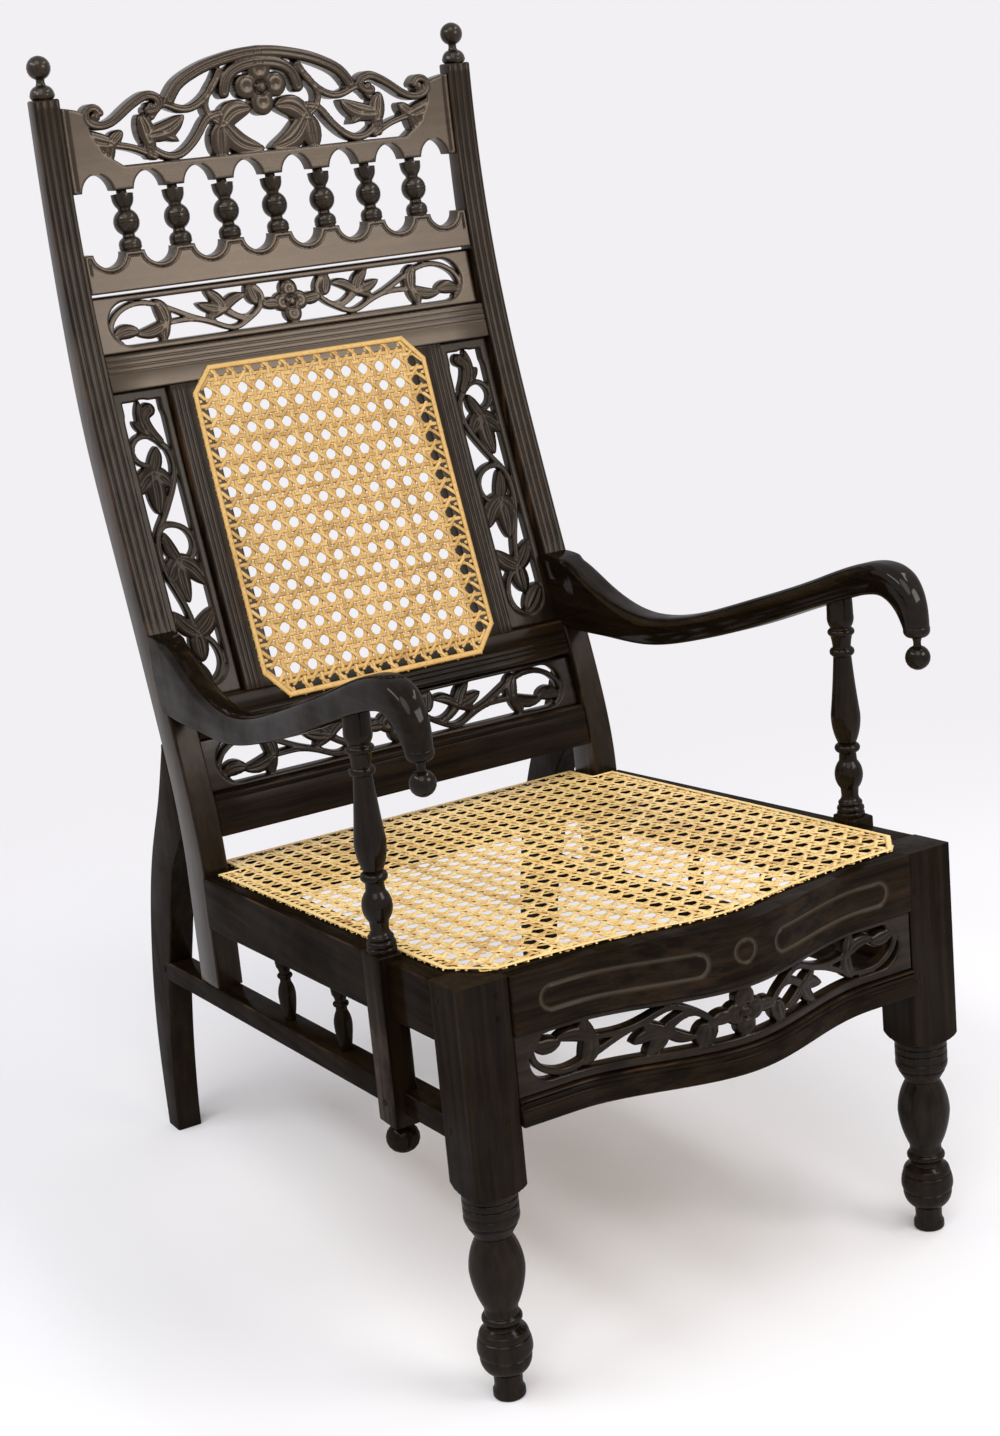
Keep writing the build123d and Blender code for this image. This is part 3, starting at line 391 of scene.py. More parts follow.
def finish_piece(piece, wood, *nodes, slot="frame_wood"):
    """Give a piece its wood, if it has no material yet, and seat it on the frame in place of some nodes."""
    if wood:
        piece.data.materials.clear()
        piece.data.materials.append(WOOD[wood])
    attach(piece, "root")
    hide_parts(*nodes)


def pair(piece, wood, right, slot="frame_wood"):
    """Finish a right-hand piece and its left-hand copy, on the nodes named after them."""
    left = right.replace("right", "left")
    mesh = piece.data.copy()
    mesh.transform(Matrix.Diagonal((-1, 1, 1, 1)))
    mesh.flip_normals()
    finish_piece(add_object(left + "_look", mesh), wood, left, slot=slot)
    finish_piece(piece, wood, right, slot=slot)


def skin(name, rings, sharp, rubbed_and_highlight=None):
    """A closed shape over a row of rings of points, in metres; rubbed is the edge wear and painted highlight
    round each ring.
    """
    rings = np.array(rings)
    count, around = rings.shape[:2]
    faces = []
    for i in range(count - 1):
        for j in range(around):
            k = (j + 1) % around
            faces.append((i * around + j, i * around + k, (i + 1) * around + k, (i + 1) * around + j))
    faces.append(tuple(range(around))[::-1])
    faces.append(tuple(range((count - 1) * around, count * around)))
    piece = new_piece(name, rings.reshape(-1, 3).tolist(), faces, sharp)
    if rubbed_and_highlight is not None:
        spread(piece.data, "rubbed_and_highlight", np.tile(rubbed_and_highlight, count))
    return piece


def spread(mesh, name, values):
    """Keep a number for each point of a mesh, for its finish to read."""
    values = np.asarray(values, np.float32)
    mesh.attributes.new(name, "FLOAT", "POINT").data.foreach_set("value", values)


def soft_section(low, high, radius=EASE, reeds=()):
    """Points round a board's section: place across it, inset from its face, and whether on the far face."""
    turn = np.linspace(0, pi / 2, 4)
    corner = radius * (1 - np.sin(turn))
    inset = radius * (1 - np.cos(turn))
    flat = radius + 1.2
    across = [*(low + corner[::-1]), low + flat]
    depth = [*inset[::-1], 0.0]
    for reed in reeds:
        across += [reed + REED_WIDE * share for share in (-1, -0.5, -0.2, 0.2, 0.5, 1)]
        depth += [REED_DEEP * share for share in (0, 0.25, 1, 1, 0.25, 0)]
    across += [high - flat, *(high - corner)]
    depth += [0.0, *inset]
    far_across = [*(high - corner[::-1]), high - flat, low + flat, *(low + corner)]
    far_depth = [*inset[::-1], 0.0, 0.0, *inset]
    far = [False] * len(across) + [True] * len(far_across)
    return np.array(across + far_across), np.array(depth + far_depth), np.array(far)


def bar(name, start, end, spacing, section, place, ease=EASE):
    """A board swept from start to end; place turns a station and its section into points in metres."""
    across, inset, far = section
    middle = (across.min() + across.max()) / 2
    half = (across.max() - across.min()) / 2
    inner = np.linspace(start + ease, end - ease, max(2, int((end - start) / spacing)))
    first = [start + share * ease for share in (0, 0.15, 0.5)]
    last = [end - share * ease for share in (0.5, 0.15, 0)]
    rings = []
    for station in (*first, *inner, *last):
        gap = min(station - start, end - station, ease)
        lip = ease - sqrt(max(0.0, ease**2 - (ease - gap) ** 2))
        narrower = middle + (across - middle) * (half - lip) / half
        rings.append(place(station, narrower, inset + lip, far))
    # the eased corners get the lighter brown of edge wear and of a painted highlight
    corner = (np.minimum(across - across.min(), across.max() - across) < ease * 0.9) & (inset < ease)
    return skin(name, rings, 40.0, corner & (inset > 0))


# ---------------------------------------------------------------- turning
def arc_step(start, end, bow):
    """Points of an arc from start to end that stands out by bow."""
    chord = np.subtract(end, start)
    length = hypot(*chord)
    along = chord / length
    out = np.array([along[1], -along[0]])
    half = 2 * atan(2 * abs(bow) / length)
    radius = length / (2 * sin(half))
    angles = np.linspace(-half, half, 9)[1:]
    middle = (np.array(start) + np.array(end)) / 2
    rise = np.sign(bow) * radius * (np.cos(angles) - cos(half))
    return [tuple(middle + along * radius * sin(a) + out * r) for a, r in zip(angles, rise)]


def turned_outline(steps):
    """The (radius, height) outline of a turning, with its sharp steps slightly eased."""
    line = [tuple(map(float, steps[0][:2]))]
    for radius, height, *bow in steps[1:]:
        if bow:
            line += arc_step(line[-1], (radius, height), bow[0])
        else:
            line.append((float(radius), float(height)))
    eased = [line[0]]
    for before, corner, after in zip(line, line[1:], line[2:]):
        back, on = np.subtract(before, corner), np.subtract(after, corner)
        turn = degrees(abs(atan2(back[0] * on[1] - back[1] * on[0], -(back @ on))))
        if turn < 20:
            eased.append(corner)
            continue
        short = [way / hypot(*way) * min(0.5, 0.35 * hypot(*way)) for way in (back, on)]
        first, last = [np.array(corner) + step for step in short]
        eased += [tuple(first), tuple((first + 2 * np.array(corner) + last) / 4), tuple(last)]
    return eased + [line[-1]]


def round_section():
    """Angles and reach of a plain round section."""
    return np.linspace(0, 2 * pi, 56, endpoint=False), np.full(56, np.inf)


def square_section(half):
    """Angles and reach of a square section with eased corners."""
    corner = EASE
    edge = atan((half - corner) / half)
    quarter = [*np.linspace(-edge, edge, 25), *np.linspace(edge, pi / 2 - edge, 6)[1:-1]]
    angles = np.array([a + turn * pi / 2 for turn in range(4) for a in quarter])
    off = np.abs((angles + pi / 4) % (pi / 2))
    off = np.minimum(off, pi / 2 - off)
    flat = half / np.maximum(np.abs(np.cos(angles)), np.abs(np.sin(angles)))
    reach = sqrt(2) * (half - corner)
    inside = np.clip(corner**2 - (reach * np.sin(off)) ** 2, 0, None)
    rounded = reach * np.cos(off) + np.sqrt(inside)
    return angles, np.where(off < pi / 4 - edge, rounded, flat)


def turning(name, steps, x=0.0, depth=0.0, height=0.0, lean=0.0, section=None):
    """A turned piece on an upright or leaning axis, from steps of (radius, height[, bow])."""
    angles, reach = section or round_section()
    rings = []
    for radius, level in turned_outline(steps):
        out = np.minimum(max(radius, 0.02), reach)
        across, back = out * np.cos(angles), out * np.sin(angles)
        back, up = back * cos(lean) + level * sin(lean), level * cos(lean) - back * sin(lean)
        rings.append(chair(x + across, depth + back, height + up))
    return skin(name, rings, 50.0)


# ---------------------------------------------------------------- carving
FAR_OFF = 99.0  # a distance that is surely outside the wood


class Carving:
    """A pierced board as a field seen from the front: how far outside the wood, and how high the relief."""

    def __init__(self, low, high, step=1.0):
        self.step = step
        across = np.arange(low[0] - 2 * step, high[0] + 3 * step, step)
        up = np.arange(low[1] - 2 * step, high[1] + 3 * step, step)
        self.x, self.z = np.meshgrid(across, up)
        self.edge = np.full(self.x.shape, FAR_OFF)
        self.top = np.full(self.x.shape, -FAR_OFF)
        self.rim = np.zeros(self.x.shape)
        self.sunk = np.zeros(self.x.shape)

    def window(self, low, high):
        """Rows and columns of the field that hold a box."""
        spans = []
        for axis, start in ((1, self.z[0, 0]), (0, self.x[0, 0])):
            first, last = [int((end[axis] - start) / self.step) for end in (low, high)]
            spans.append(slice(max(0, first), max(0, last + 2)))
        return tuple(spans)

    def lay(self, spot, edge, height, rim):
        """Join a form to the board where its edge distance is below zero."""
        inside = edge < 0
        self.top[spot] = np.where(inside, np.maximum(self.top[spot], height), self.top[spot])
        self.rim[spot] = np.where(edge < self.edge[spot], rim, self.rim[spot])
        self.edge[spot] = np.minimum(self.edge[spot], edge)

    def board(self, edge, height, rim, ease):
        """A flat ground with eased edges."""
        depth_in = np.clip(-edge / ease, 0, 1)
        self.lay(np.s_[:, :], edge, rim + (height - rim) * np.sqrt(1 - (1 - depth_in) ** 2), rim)

    def sweep(self, points, widths, rise, rim=1.0, groove=0.0, sag=0.0):
        """A rounded form along a curve; groove sinks its middle line and sag lowers it to its end."""
        length = sum(hypot(b[0] - a[0], b[1] - a[1]) for a, b in zip(points, points[1:]))
        line = curve_through(points, max(6, int(length / (0.7 * self.step))))
        share = np.linspace(0, 1, len(line))
        half = widths(share) / 2
        margin = half.max() + 2 * self.step
        spot = self.window(line.min(0) - margin, line.max(0) + margin)
        gap_x = self.x[spot][..., None] - line[:, 0]
        gap_z = self.z[spot][..., None] - line[:, 1]
        distance = np.sqrt(gap_x**2 + gap_z**2)
        nearest = np.argmin(distance - half, axis=-1)
        centre = np.min(distance, axis=-1)
        edge = np.take_along_axis(distance - half, nearest[..., None], axis=-1)[..., 0]
        width = half[nearest]
        reach = np.clip(1 + edge / width, 0, 1)
        height = rim + rise * (1 - sag * share[nearest]) * np.sqrt(np.clip(1 - reach**2.4, 0, 1))
        height -= groove * np.exp(-((centre / (0.10 * width + 0.7)) ** 2))
        self.lay(spot, edge, height, rim)

    def stem(self, points, width=6.0, rise=3.6, rim=1.4, groove=1.2):
        """A vine stem with a groove down its middle."""
        self.sweep(points, lambda share: np.full_like(share, width), rise, rim, groove)

    def leaf(self, base, tip, width, bend=0.0):
        """A smooth pointed leaf with a sunk midrib, bent sideways."""
        base, tip = np.array(base, float), np.array(tip, float)
        along = tip - base
        side = np.array([-along[1], along[0]]) * bend
        points = [tuple(base), tuple(base + 0.5 * along + side), tuple(tip)]

        def widths(share):
            body = np.sin(pi * np.clip(share * 0.86 + 0.14, 0, 1) ** 0.95)
            return np.maximum(width * np.clip(body, 0, 1) ** 0.7, 0.9)

        self.sweep(points, widths, 4.6, 1.0, 1.1, sag=0.2)

    def spray(self, base, tips):
        """Leaves that grow from one place, each given by its tip and width, and its bend if any."""
        for tip_x, tip_z, *form in tips:
            self.leaf(base, (tip_x, tip_z), *form)

    def bud(self, x, z, radius, rise, rim=1.2, dimple=0.0):
        """A round bud, petal or boss."""
        spot = self.window((x - radius - 2, z - radius - 2), (x + radius + 2, z + radius + 2))
        reach = np.hypot(self.x[spot] - x, self.z[spot] - z)
        dome = np.sqrt(np.clip(1 - (reach / radius) ** 2.2, 0, 1))
        height = rim + rise * dome - dimple * np.exp(-((reach / (0.42 * radius)) ** 2))
        self.lay(spot, reach - radius, height, rim)

    def away(self, x, z):
        """Distance from a point."""
        return np.hypot(self.x - x, self.z - z)

    def slot(self, x, z, long, wide, upright=False):
        """Distance outside a round-ended slot."""
        off_x, off_z = np.abs(self.x - x), np.abs(self.z - z)
        if upright:
            off_x, off_z = off_z, off_x
        return np.hypot(np.maximum(off_x - (long - wide) / 2, 0), off_z) - wide / 2

    def box(self, low, high):
        """Distance outside a box."""
        return np.maximum.reduce([low[0] - self.x, self.x - high[0], low[1] - self.z, self.z - high[1]])

    def cut(self, distance, wide, deep, dusty=0.0):
        """Sink a soft groove along the places where a distance is zero."""
        groove = np.exp(-((distance / wide) ** 2))
        self.top -= deep * groove * (self.top > -50)
        self.sunk = np.maximum(self.sunk, dusty * groove)

    def flower(self, x, z, petals, radius, boss):
        """Petals, hollowed towards the middle, round a boss with a sunk ring."""
        for off_x, off_z in petals:
            petal_x, petal_z = x + off_x, z + off_z
            self.bud(petal_x, petal_z, radius, 4.8, 1.2, 1.6)
            self.cut(self.away((x * 1.5 + petal_x) / 2.5, (z * 1.5 + petal_z) / 2.5) - 2.0, 1.6, 0.9)
        self.cut(self.away(x, z) - boss - 0.8, 1.0, 1.8)
        self.bud(x, z, boss, 5.8, 1.4, 0.8)

    def solid(self, name, front, thick, cap=lambda depth: 9999.0):
        """Cut the board out. front gives a point's depth from its place across, its height and how far it
        lies below the tallest relief; cap is the highest that the board may reach at a depth."""
        inside = self.edge < 0
        top = np.where(inside, self.top, 0.0)
        weight = inside.astype(float)
        near, share = top * 4, weight * 4
        for shift, axis in ((1, 0), (-1, 0), (1, 1), (-1, 1)):
            near += np.roll(top * weight, shift, axis)
            share += np.roll(weight, shift, axis)
        top = near / np.maximum(share, 1)
        index = np.full(inside.shape, -1)
        index[inside] = np.arange(inside.sum())
        xs, zs, tops = [self.x[inside]], [self.z[inside]], [top[inside]]
        start = int(inside.sum())
        crossing = {}
        for axis, (a, b) in enumerate(((np.s_[:, :-1], np.s_[:, 1:]), (np.s_[:-1], np.s_[1:]))):
            mixed = inside[a] != inside[b]
            edge_a, edge_b = self.edge[a][mixed], self.edge[b][mixed]
            t = np.clip(edge_a / (edge_a - edge_b), 0.02, 0.98)
            xs.append(self.x[a][mixed] + t * (self.x[b] - self.x[a])[mixed])
            zs.append(self.z[a][mixed] + t * (self.z[b] - self.z[a])[mixed])
            tops.append(np.where(inside[a][mixed], self.rim[b][mixed], self.rim[a][mixed]))
            numbers = np.full(mixed.shape, -1)
            numbers[mixed] = start + np.arange(mixed.sum())
            start += int(mixed.sum())
            crossing[axis] = numbers
        x, z, rise = np.concatenate(xs), np.concatenate(zs), np.concatenate(tops)
        count = len(x)
        quarters = np.s_[:-1, :-1], np.s_[:-1, 1:], np.s_[1:, 1:], np.s_[1:, :-1]
        whole = np.logical_and.reduce([inside[quarter] for quarter in quarters])
        some = np.logical_or.reduce([inside[quarter] for quarter in quarters]) & ~whole
        faces = np.stack([index[quarter][whole] for quarter in quarters], axis=1).tolist()
        walls = []
        for r, c in zip(*np.nonzero(some)):
            corners = [index[r, c], index[r, c + 1], index[r + 1, c + 1], index[r + 1, c]]
            sides = [crossing[0][r, c], crossing[1][r, c + 1], crossing[0][r + 1, c], crossing[1][r, c]]
            loop = []
            for corner, side in zip(corners, sides):
                if corner >= 0:
                    loop.append((int(corner), False))
                if side >= 0:
                    loop.append((int(side), True))
            faces.append([number for number, _ in loop])
            for (p, p_cut), (q, q_cut) in zip(loop, loop[1:] + loop[:1]):
                if p_cut and q_cut:
                    walls.append([q, p, p + count, q + count])
        back = [[number + count for number in reversed(face)] for face in faces]
        near_depth = front(x, z, RELIEF_TALLEST - rise)
        far_depth = front(x, z, np.full_like(x, thick))
        near_z, far_z = np.minimum(z, cap(near_depth)), np.minimum(z, cap(far_depth))
        points = np.concatenate([chair(x, near_depth, near_z), chair(x, far_depth, far_z)])
        piece = new_piece(name, points.tolist(), faces + back + walls, 55.0)
        relief = np.concatenate([rise, np.full(count, 3.0)]) / RELIEF_TALLEST
        spread(piece.data, "relief", np.clip(relief, 0.03, 1))
        spread(piece.data, "sunk", np.concatenate([self.sunk[inside], np.zeros(2 * count - inside.sum())]))
        return piece


def back_face(recess):
    """Places a relief on the curve of the back."""
    return lambda x, z, down: back_depth(z) + recess + down


def half_panel(carving, side, middle=0.0, rise=1, squeeze=1.0):
    """What draws one half of a symmetrical panel: points, a stem and a spray, moved to their side."""

    def at(*points):
        return [(side * x * squeeze, middle + rise * z) for x, z in points]

    def stem(width, *points):
        carving.stem(at(*points), width)

    def spray(base, *tips):
        turn = side * rise
        carving.spray(*at(base), [(*at((x, z))[0], wide, turn * bend) for x, z, wide, bend in tips])

    return at, stem, spray


def vine(carving, middle, rise=1, squeeze=1.0):
    """The running vine of a level fret: a flower, and on each side two leaf sprays and a looped stem."""
    for side in (-1, 1):
        _, stem, spray = half_panel(carving, side, middle, rise, squeeze)
        stem(6.2, (92, -11), (115, -3), (150, 13.5), (175, 19), (196, 13), (208, 0), (209, -12), (201, -20))
        stem(6.2, (146, -5), (115, -5), (90, -13), (71, -19), (52, -12), (37, -1), (33, 9), (40, 21))
        stem(5.4, (80, 0), (68, -8), (56, -13))
        stem(4.8, (74, 0), (62, -8), (50, -9), (40, -3))
        spray((183, -9), (207, -13, 15.5, 0.10))
        spray((147, -5), (156, 20, 17, 0.12), (184, -12, 14, -0.10), (153, -23, 15, 0.10))
        spray((79, 1), (97, 22, 14, 0.10), (109, 10, 13, -0.05), (98, -7, 12, 0.08), (50, 13, 12, -0.12))
        spray((42, 5), (47, 23, 15, 0.0))
        spray((32, 1), (12, -1, 14, 0.0))
    carving.flower(0, middle, [(-10, 0), (10, 0), (0, 13), (0, -13)], 10.4, 5.6)


def fret_board(low, high, opening, step=1.0):
    """A carving whose board is pierced by an opening; opening gives the distance outside it."""
    carving = Carving(low, high, step)
    carving.board(np.maximum(carving.box(low, high), -opening(carving)), 5.5, 3.5, 2.5)
    return carving


def level_fret(node, low, high, wood):
    """A pierced vine panel between the stiles."""
    middle = (low + high) / 2
    ends = (-STILE_INNER, low), (STILE_INNER, high)
    carving = fret_board(*ends, lambda field: field.slot(0, middle, 2 * FRET_ENDS, 45))
    vine(carving, middle)
    piece = carving.solid(node + "_look", back_face(FRET_RECESS - RELIEF_PROUD), FRET_THICK + RELIEF_PROUD)
    finish_piece(piece, wood, node)


def side_frets():
    """The upright vine panels beside the caned panel."""
    low, high = (INNER_STILE_FAR, BOTTOM_RAIL_TOP), (STILE_INNER, TOP_RAIL_FOOT)
    middle = (low[0] + high[0]) / 2

    def opening(field):
        slot = field.slot(middle, (low[1] + high[1]) / 2, 292, 44, True)
        return np.minimum(slot, field.box((middle - 20.5, 700), (middle + 20.5, 825)))

    carving = fret_board(low, high, opening, 0.9)
    for width, points in (
        (6.8, [(190, 786), (180, 777), (175, 763), (178, 743), (189, 722), (201, 704), (211, 689),
               (214, 672), (213, 654), (207, 634), (200, 612), (197, 596)]),
        (6.2, [(180, 775), (190, 786), (203, 789.5), (213, 784), (216.5, 774), (212, 764), (203, 759)]),
        (6.4, [(211, 689), (203, 697), (191, 697), (179, 690), (174, 677), (178, 665), (186, 659)]),
        (6.6, [(196, 588), (184, 579), (177, 566), (177, 551), (184, 540), (197, 535), (209, 540),
               (216, 552)]),
    ):
        carving.stem(points, width)
    cup = [(183, 783), (192, 797), (194, 810), (188, 815)]
    carving.sweep(cup, lambda share: 8 + 7 * share, 4.4, 1.2, 1.0)
    carving.spray((196, 792), [(197, 826, 11, -0.06), (208, 805, 10)])
    leaves = [(189, 777, 15, 0.06), (184, 737, 20, -0.05), (219, 734, 21, 0.05), (204, 710, 22, -0.04)]
    carving.spray((200, 752), leaves)
    carving.bud(198, 748, 9.5, 4.2)
    leaves = [(204, 691, 15, -0.08), (173, 633, 21, -0.10), (211, 640, 21, 0.02), (195, 618, 20, 0.04)]
    carving.spray((196, 662), leaves)
    carving.bud(196, 656, 9.0, 4.2)
    carving.spray((196, 586), [(172, 608, 20, 0.10), (217, 612, 18, -0.08), (197, 559, 21)])
    carving.spray((214, 559), [(193, 538, 23, 0.06)])
    face = back_face(FRET_RECESS - RELIEF_PROUD)
    piece = carving.solid("side_fret_right_look", face, FRET_THICK + RELIEF_PROUD)
    pair(piece, "waxed_upright", "side_fret_right")


def apron():
    """The pierced vine panel that follows the serpentine front."""
    middle, half_long = 312.5, 200
    ends = (-LEG_INNER, FOOT_RAIL_TOP), (LEG_INNER, FRONT_RAIL_FOOT)
    carving = fret_board(*ends, lambda field: field.slot(0, middle, 2 * half_long, 43))
    vine(carving, middle, -0.97, (half_long - 2) / FRET_ENDS)
    face, thick = 5 - RELIEF_PROUD, FRET_THICK + RELIEF_PROUD
    piece = carving.solid("apron_fret_look", lambda x, z, down: bow_depth(x) + face + down, thick)
    finish_piece(piece, "carved", "apron_fret")


def arch_places():
    """Where the arches between the spindles have their middles, across the chair."""
    return [ARCADE_PITCH * (number - ARCADE_COUNT / 2) for number in range(ARCADE_COUNT + 1)]


def deep_board(carving, name, node):
    """Cut the crest or the arcade rail out of its board."""
    piece = carving.solid(name, back_face(BACK_RECESS - RELIEF_PROUD), CREST_THICK + RELIEF_PROUD)
    finish_piece(piece, "waxed_across", node)


def crest():
    """The carved crest: an arch of scrolls over a flower and leaves, on a band with pointed notches."""
    carving = Carving((-STILE_INNER, CREST_FOOT), (STILE_INNER, CREST_TOP))
    x, z = carving.x, carving.z
    band = carving.box((-STILE_INNER, CREST_FOOT), (STILE_INNER, CREST_BAND_TOP))
    for centre in arch_places():
        notch = np.abs(x - centre)
        rise = (z - CREST_FOOT) / 18
        curve = ARCH_HALF * np.sqrt(np.clip(1 - np.clip(rise, 0, 1) ** 1.7, 0, 1))
        arch = notch - curve * (rise < 1) + 30 * (rise >= 1)
        shoulder = np.maximum(arch, (z - CREST_FOOT - 20))
        band = np.maximum(band, -np.clip(shoulder, -9, 9))
    carving.board(band, 5.2, 3.6, 2.0)
    end_curve = np.interp(z, [1040, 1064, 1067, 1078, 1098, 1112, 1127], [190, 166, 170, 186, 197, 199, 202])
    end_top = 1121.0 + 6.0 * np.clip((np.abs(x) - 205) / 22, 0, 1) ** 0.6
    ends = np.maximum.reduce([end_curve - np.abs(x), z - end_top, 1061 - z, np.abs(x) - STILE_INNER])
    carving.board(ends, 5.2, 3.6, 2.0)
    carving.cut(np.abs(x) - 221 + FAR_OFF * (z < CREST_FOOT + 3), 0.9, 1.3)
    for side in (-1, 1):
        at, stem, spray = half_panel(carving, side)
        arch = at((0, 1167), (20, 1165.5), (40, 1162), (60, 1157), (80, 1149), (96, 1139), (106, 1126))
        carving.stem(arch, 12.5, 4.4, 1.6, 1.8)
        carving.stem(at((0, 1156), (22, 1153), (38, 1143), (43.5, 1128)), 13, 4.4, 1.6, 1.8)
        stem(8.5, (46, 1150), (55, 1136), (68, 1123), (88, 1115), (104, 1119), (113, 1122), (128, 1111))
        stem(8.5, (52, 1107), (64, 1104), (75, 1092), (88, 1078), (105, 1069), (120, 1071), (133, 1080))
        stem(7.5, (52, 1141), (62, 1128), (66, 1115), (60, 1103), (46, 1096))
        scroll = at(
            (131, 1117), (123, 1118), (118, 1125), (125, 1131.5), (140, 1129), (158, 1118), (172, 1109),
            (186, 1106), (198, 1111), (199, 1121), (190, 1124.5), (184, 1119),
        )
        carving.sweep(scroll, lambda share: 10.5 - 2.5 * share, 4.6, 1.6, 1.6)
        stem(7.5, (130, 1070), (150, 1080), (174, 1086))
        spray((133, 1092), (92, 1109, 20, 0.10), (101, 1083, 13, -0.12), (136, 1068, 15, 0.0))
        spray((135, 1086), (141, 1113, 20, 0.06))
        spray((177, 1087), (163, 1099, 14, 0.0), (209, 1103, 20, -0.10), (184, 1064, 16, 0.06))
        spray((49, 1096), (14, 1109, 24, -0.16), (4, 1067, 23, 0.16))
        spray((53, 1091), (55, 1062, 24, 0.0))
        carving.bud(side * 190, 1115, 5.6, 5.0)
        carving.bud(side * 128, 1121, 4.6, 4.8)
    carving.flower(0, 1130, [(0, 17.5), (-17, 2), (17, 2), (0, -16)], 13.2, 6.4)
    deep_board(carving, "crest_look", "crest_rail")


def arcade_rail():
    """The deep rail whose scalloped top carries the arcade."""
    low, high = (-STILE_INNER, ARCADE_RAIL_FOOT), (STILE_INNER, ARCADE_RAIL_TOP)
    carving = Carving(low, high, 0.7)
    edge = carving.box(low, high)
    for centre in arch_places():
        dip = np.hypot(np.abs(carving.x - centre) / ARCH_HALF, (carving.z - ARCADE_RAIL_TOP) / ARCADE_DIP) - 1
        edge = np.maximum(edge, -dip * ARCADE_DIP)
    carving.board(edge, 5.5, 4.3, 1.6)
    carving.cut(edge + 4.6 + FAR_OFF * (carving.z < 957), 0.65, 1.6)
    deep_board(carving, "arcade_rail_look", "arcade_rail")


def front_rail():
    """The serpentine seat rail with two sunk panels and a middle roundel."""
    low, high = (-LEG_INNER, FRONT_RAIL_FOOT), (LEG_INNER, 399)
    carving = Carving(low, high)
    top = seat_height(bow_depth(carving.x)) + 0.4
    carving.board(np.maximum(carving.box(low, high), carving.z - top), 6.0, 4.0, 3.0)
    for side in (-1, 1):
        panel = carving.slot(side * 111, 367, 150, 22)
        carving.cut(panel, 1.7, 2.4, 1.0)
        carving.top -= 0.5 * (panel < 0)
    ring = carving.away(0, 371)
    carving.cut(ring - 10.5, 1.6, 2.4, 1.0)
    carving.top += 0.6 * np.clip(1 - (ring / 8) ** 2, 0, 1)
    piece = carving.solid("front_rail_look", lambda x, z, down: bow_depth(x) - 0.4 + down, 38.5, seat_height)
    finish_piece(piece, "across", "front_rail")


# ---------------------------------------------------------------- cane
PAIR_GAP = 0.132  # half the gap of a pair of strands, as a share of the pitch
UNDER, OVER = 0.42, 0.78  # how far the pairs and the slants ride up and down, in millimetres
BORDER_INSET = 2.6
STRAND_STEP = 2.7  # spacing of the points along a strand
SLANT_STEP = STRAND_STEP * 1.2


def add_node(tree, kind, sockets, **settings):
    """Add a geometry node with its settings, then its socket values or links, and give its first output."""
    made = tree.nodes.new(kind)
    for key, value in settings.items():
        setattr(made, key, value)
    for key, value in sockets.items():
        if isinstance(value, bpy.types.NodeSocket):
            tree.links.new(value, made.inputs[key])
        else:
            made.inputs[key].default_value = value
    return made.outputs[0] if made.outputs else None


def start_tree(name, *numbers):
    """A geometry tree with named number inputs, and the sockets that bring them in after the geometry."""
    tree = bpy.data.node_groups.new(name, "GeometryNodeTree")
    tree.interface.new_socket(name="Geometry", in_out="INPUT", socket_type="NodeSocketGeometry")
    for number in numbers:
        tree.interface.new_socket(name=number, in_out="INPUT", socket_type="NodeSocketFloat")
    tree.interface.new_socket(name="Geometry", in_out="OUTPUT", socket_type="NodeSocketGeometry")
    inputs = tree.nodes.new("NodeGroupInput").outputs
    return tree, *[inputs[name] for name in ("Geometry", *numbers)]


def end_tree(tree, copies, material):
    """End a tree: make its copies real, give them a material and put them out."""
    real = add_node(tree, "GeometryNodeRealizeInstances", {"Geometry": copies})
    finished = add_node(tree, "GeometryNodeSetMaterial", {"Geometry": real, "Material": material})
    add_node(tree, "NodeGroupOutput", {"Geometry": finished})
    return tree


def strand_tree(material):
    """Turns paths into flat domed strands of cane."""
    tree, paths, wide, thick = start_tree("cane_strands", "Strand width", "Strand thickness")
    path = add_node(tree, "GeometryNodeMeshToCurve", {"Mesh": paths})
    level = add_node(tree, "GeometryNodeSetCurveNormal", {"Curve": path}, mode="Z_UP")
    sides = {"Resolution": 6, "Radius": 0.5}
    circle = add_node(tree, "GeometryNodeCurvePrimitiveCircle", sides, mode="RADIUS")
    flat = add_node(tree, "ShaderNodeCombineXYZ", {"X": wide, "Y": thick, "Z": 1.0})
    section = add_node(tree, "GeometryNodeTransform", {"Geometry": circle, "Scale": flat})
    swept = {"Curve": level, "Profile Curve": section, "Fill Caps": True}
    return end_tree(tree, add_node(tree, "GeometryNodeCurveToMesh", swept), material)


def grow(name, source, tree, numbers):
    """Run a geometry tree on a mesh and keep the result as a plain piece."""
    holder = add_object(name + "_paths", source)
    modifier = holder.modifiers.new("grow", "NODES")
    modifier.node_group = tree
    for socket in tree.interface.items_tree:
        if socket.in_out == "INPUT" and socket.name in numbers:
            modifier[socket.identifier] = numbers[socket.name]
    bpy.context.view_layer.update()
    graph = bpy.context.evaluated_depsgraph_get()
    mesh = bpy.data.meshes.new_from_object(holder.evaluated_get(graph), depsgraph=graph)
    holder.modifiers.clear()
    bpy.data.objects.remove(holder)
    return add_object(name, mesh)


def inside_outline(points, outline):
    """Whether points lie inside a closed outline."""
    result = np.zeros(len(points), bool)
    ends = np.roll(outline, -1, axis=0)
    for (ax, ay), (bx, by) in zip(outline, ends):
        crosses = (ay > points[:, 1]) != (by > points[:, 1])
        with np.errstate(divide="ignore", invalid="ignore"):
            reach = ax + (points[:, 1] - ay) * (bx - ax) / (by - ay)
        result ^= crosses & (points[:, 0] < reach)
    return result


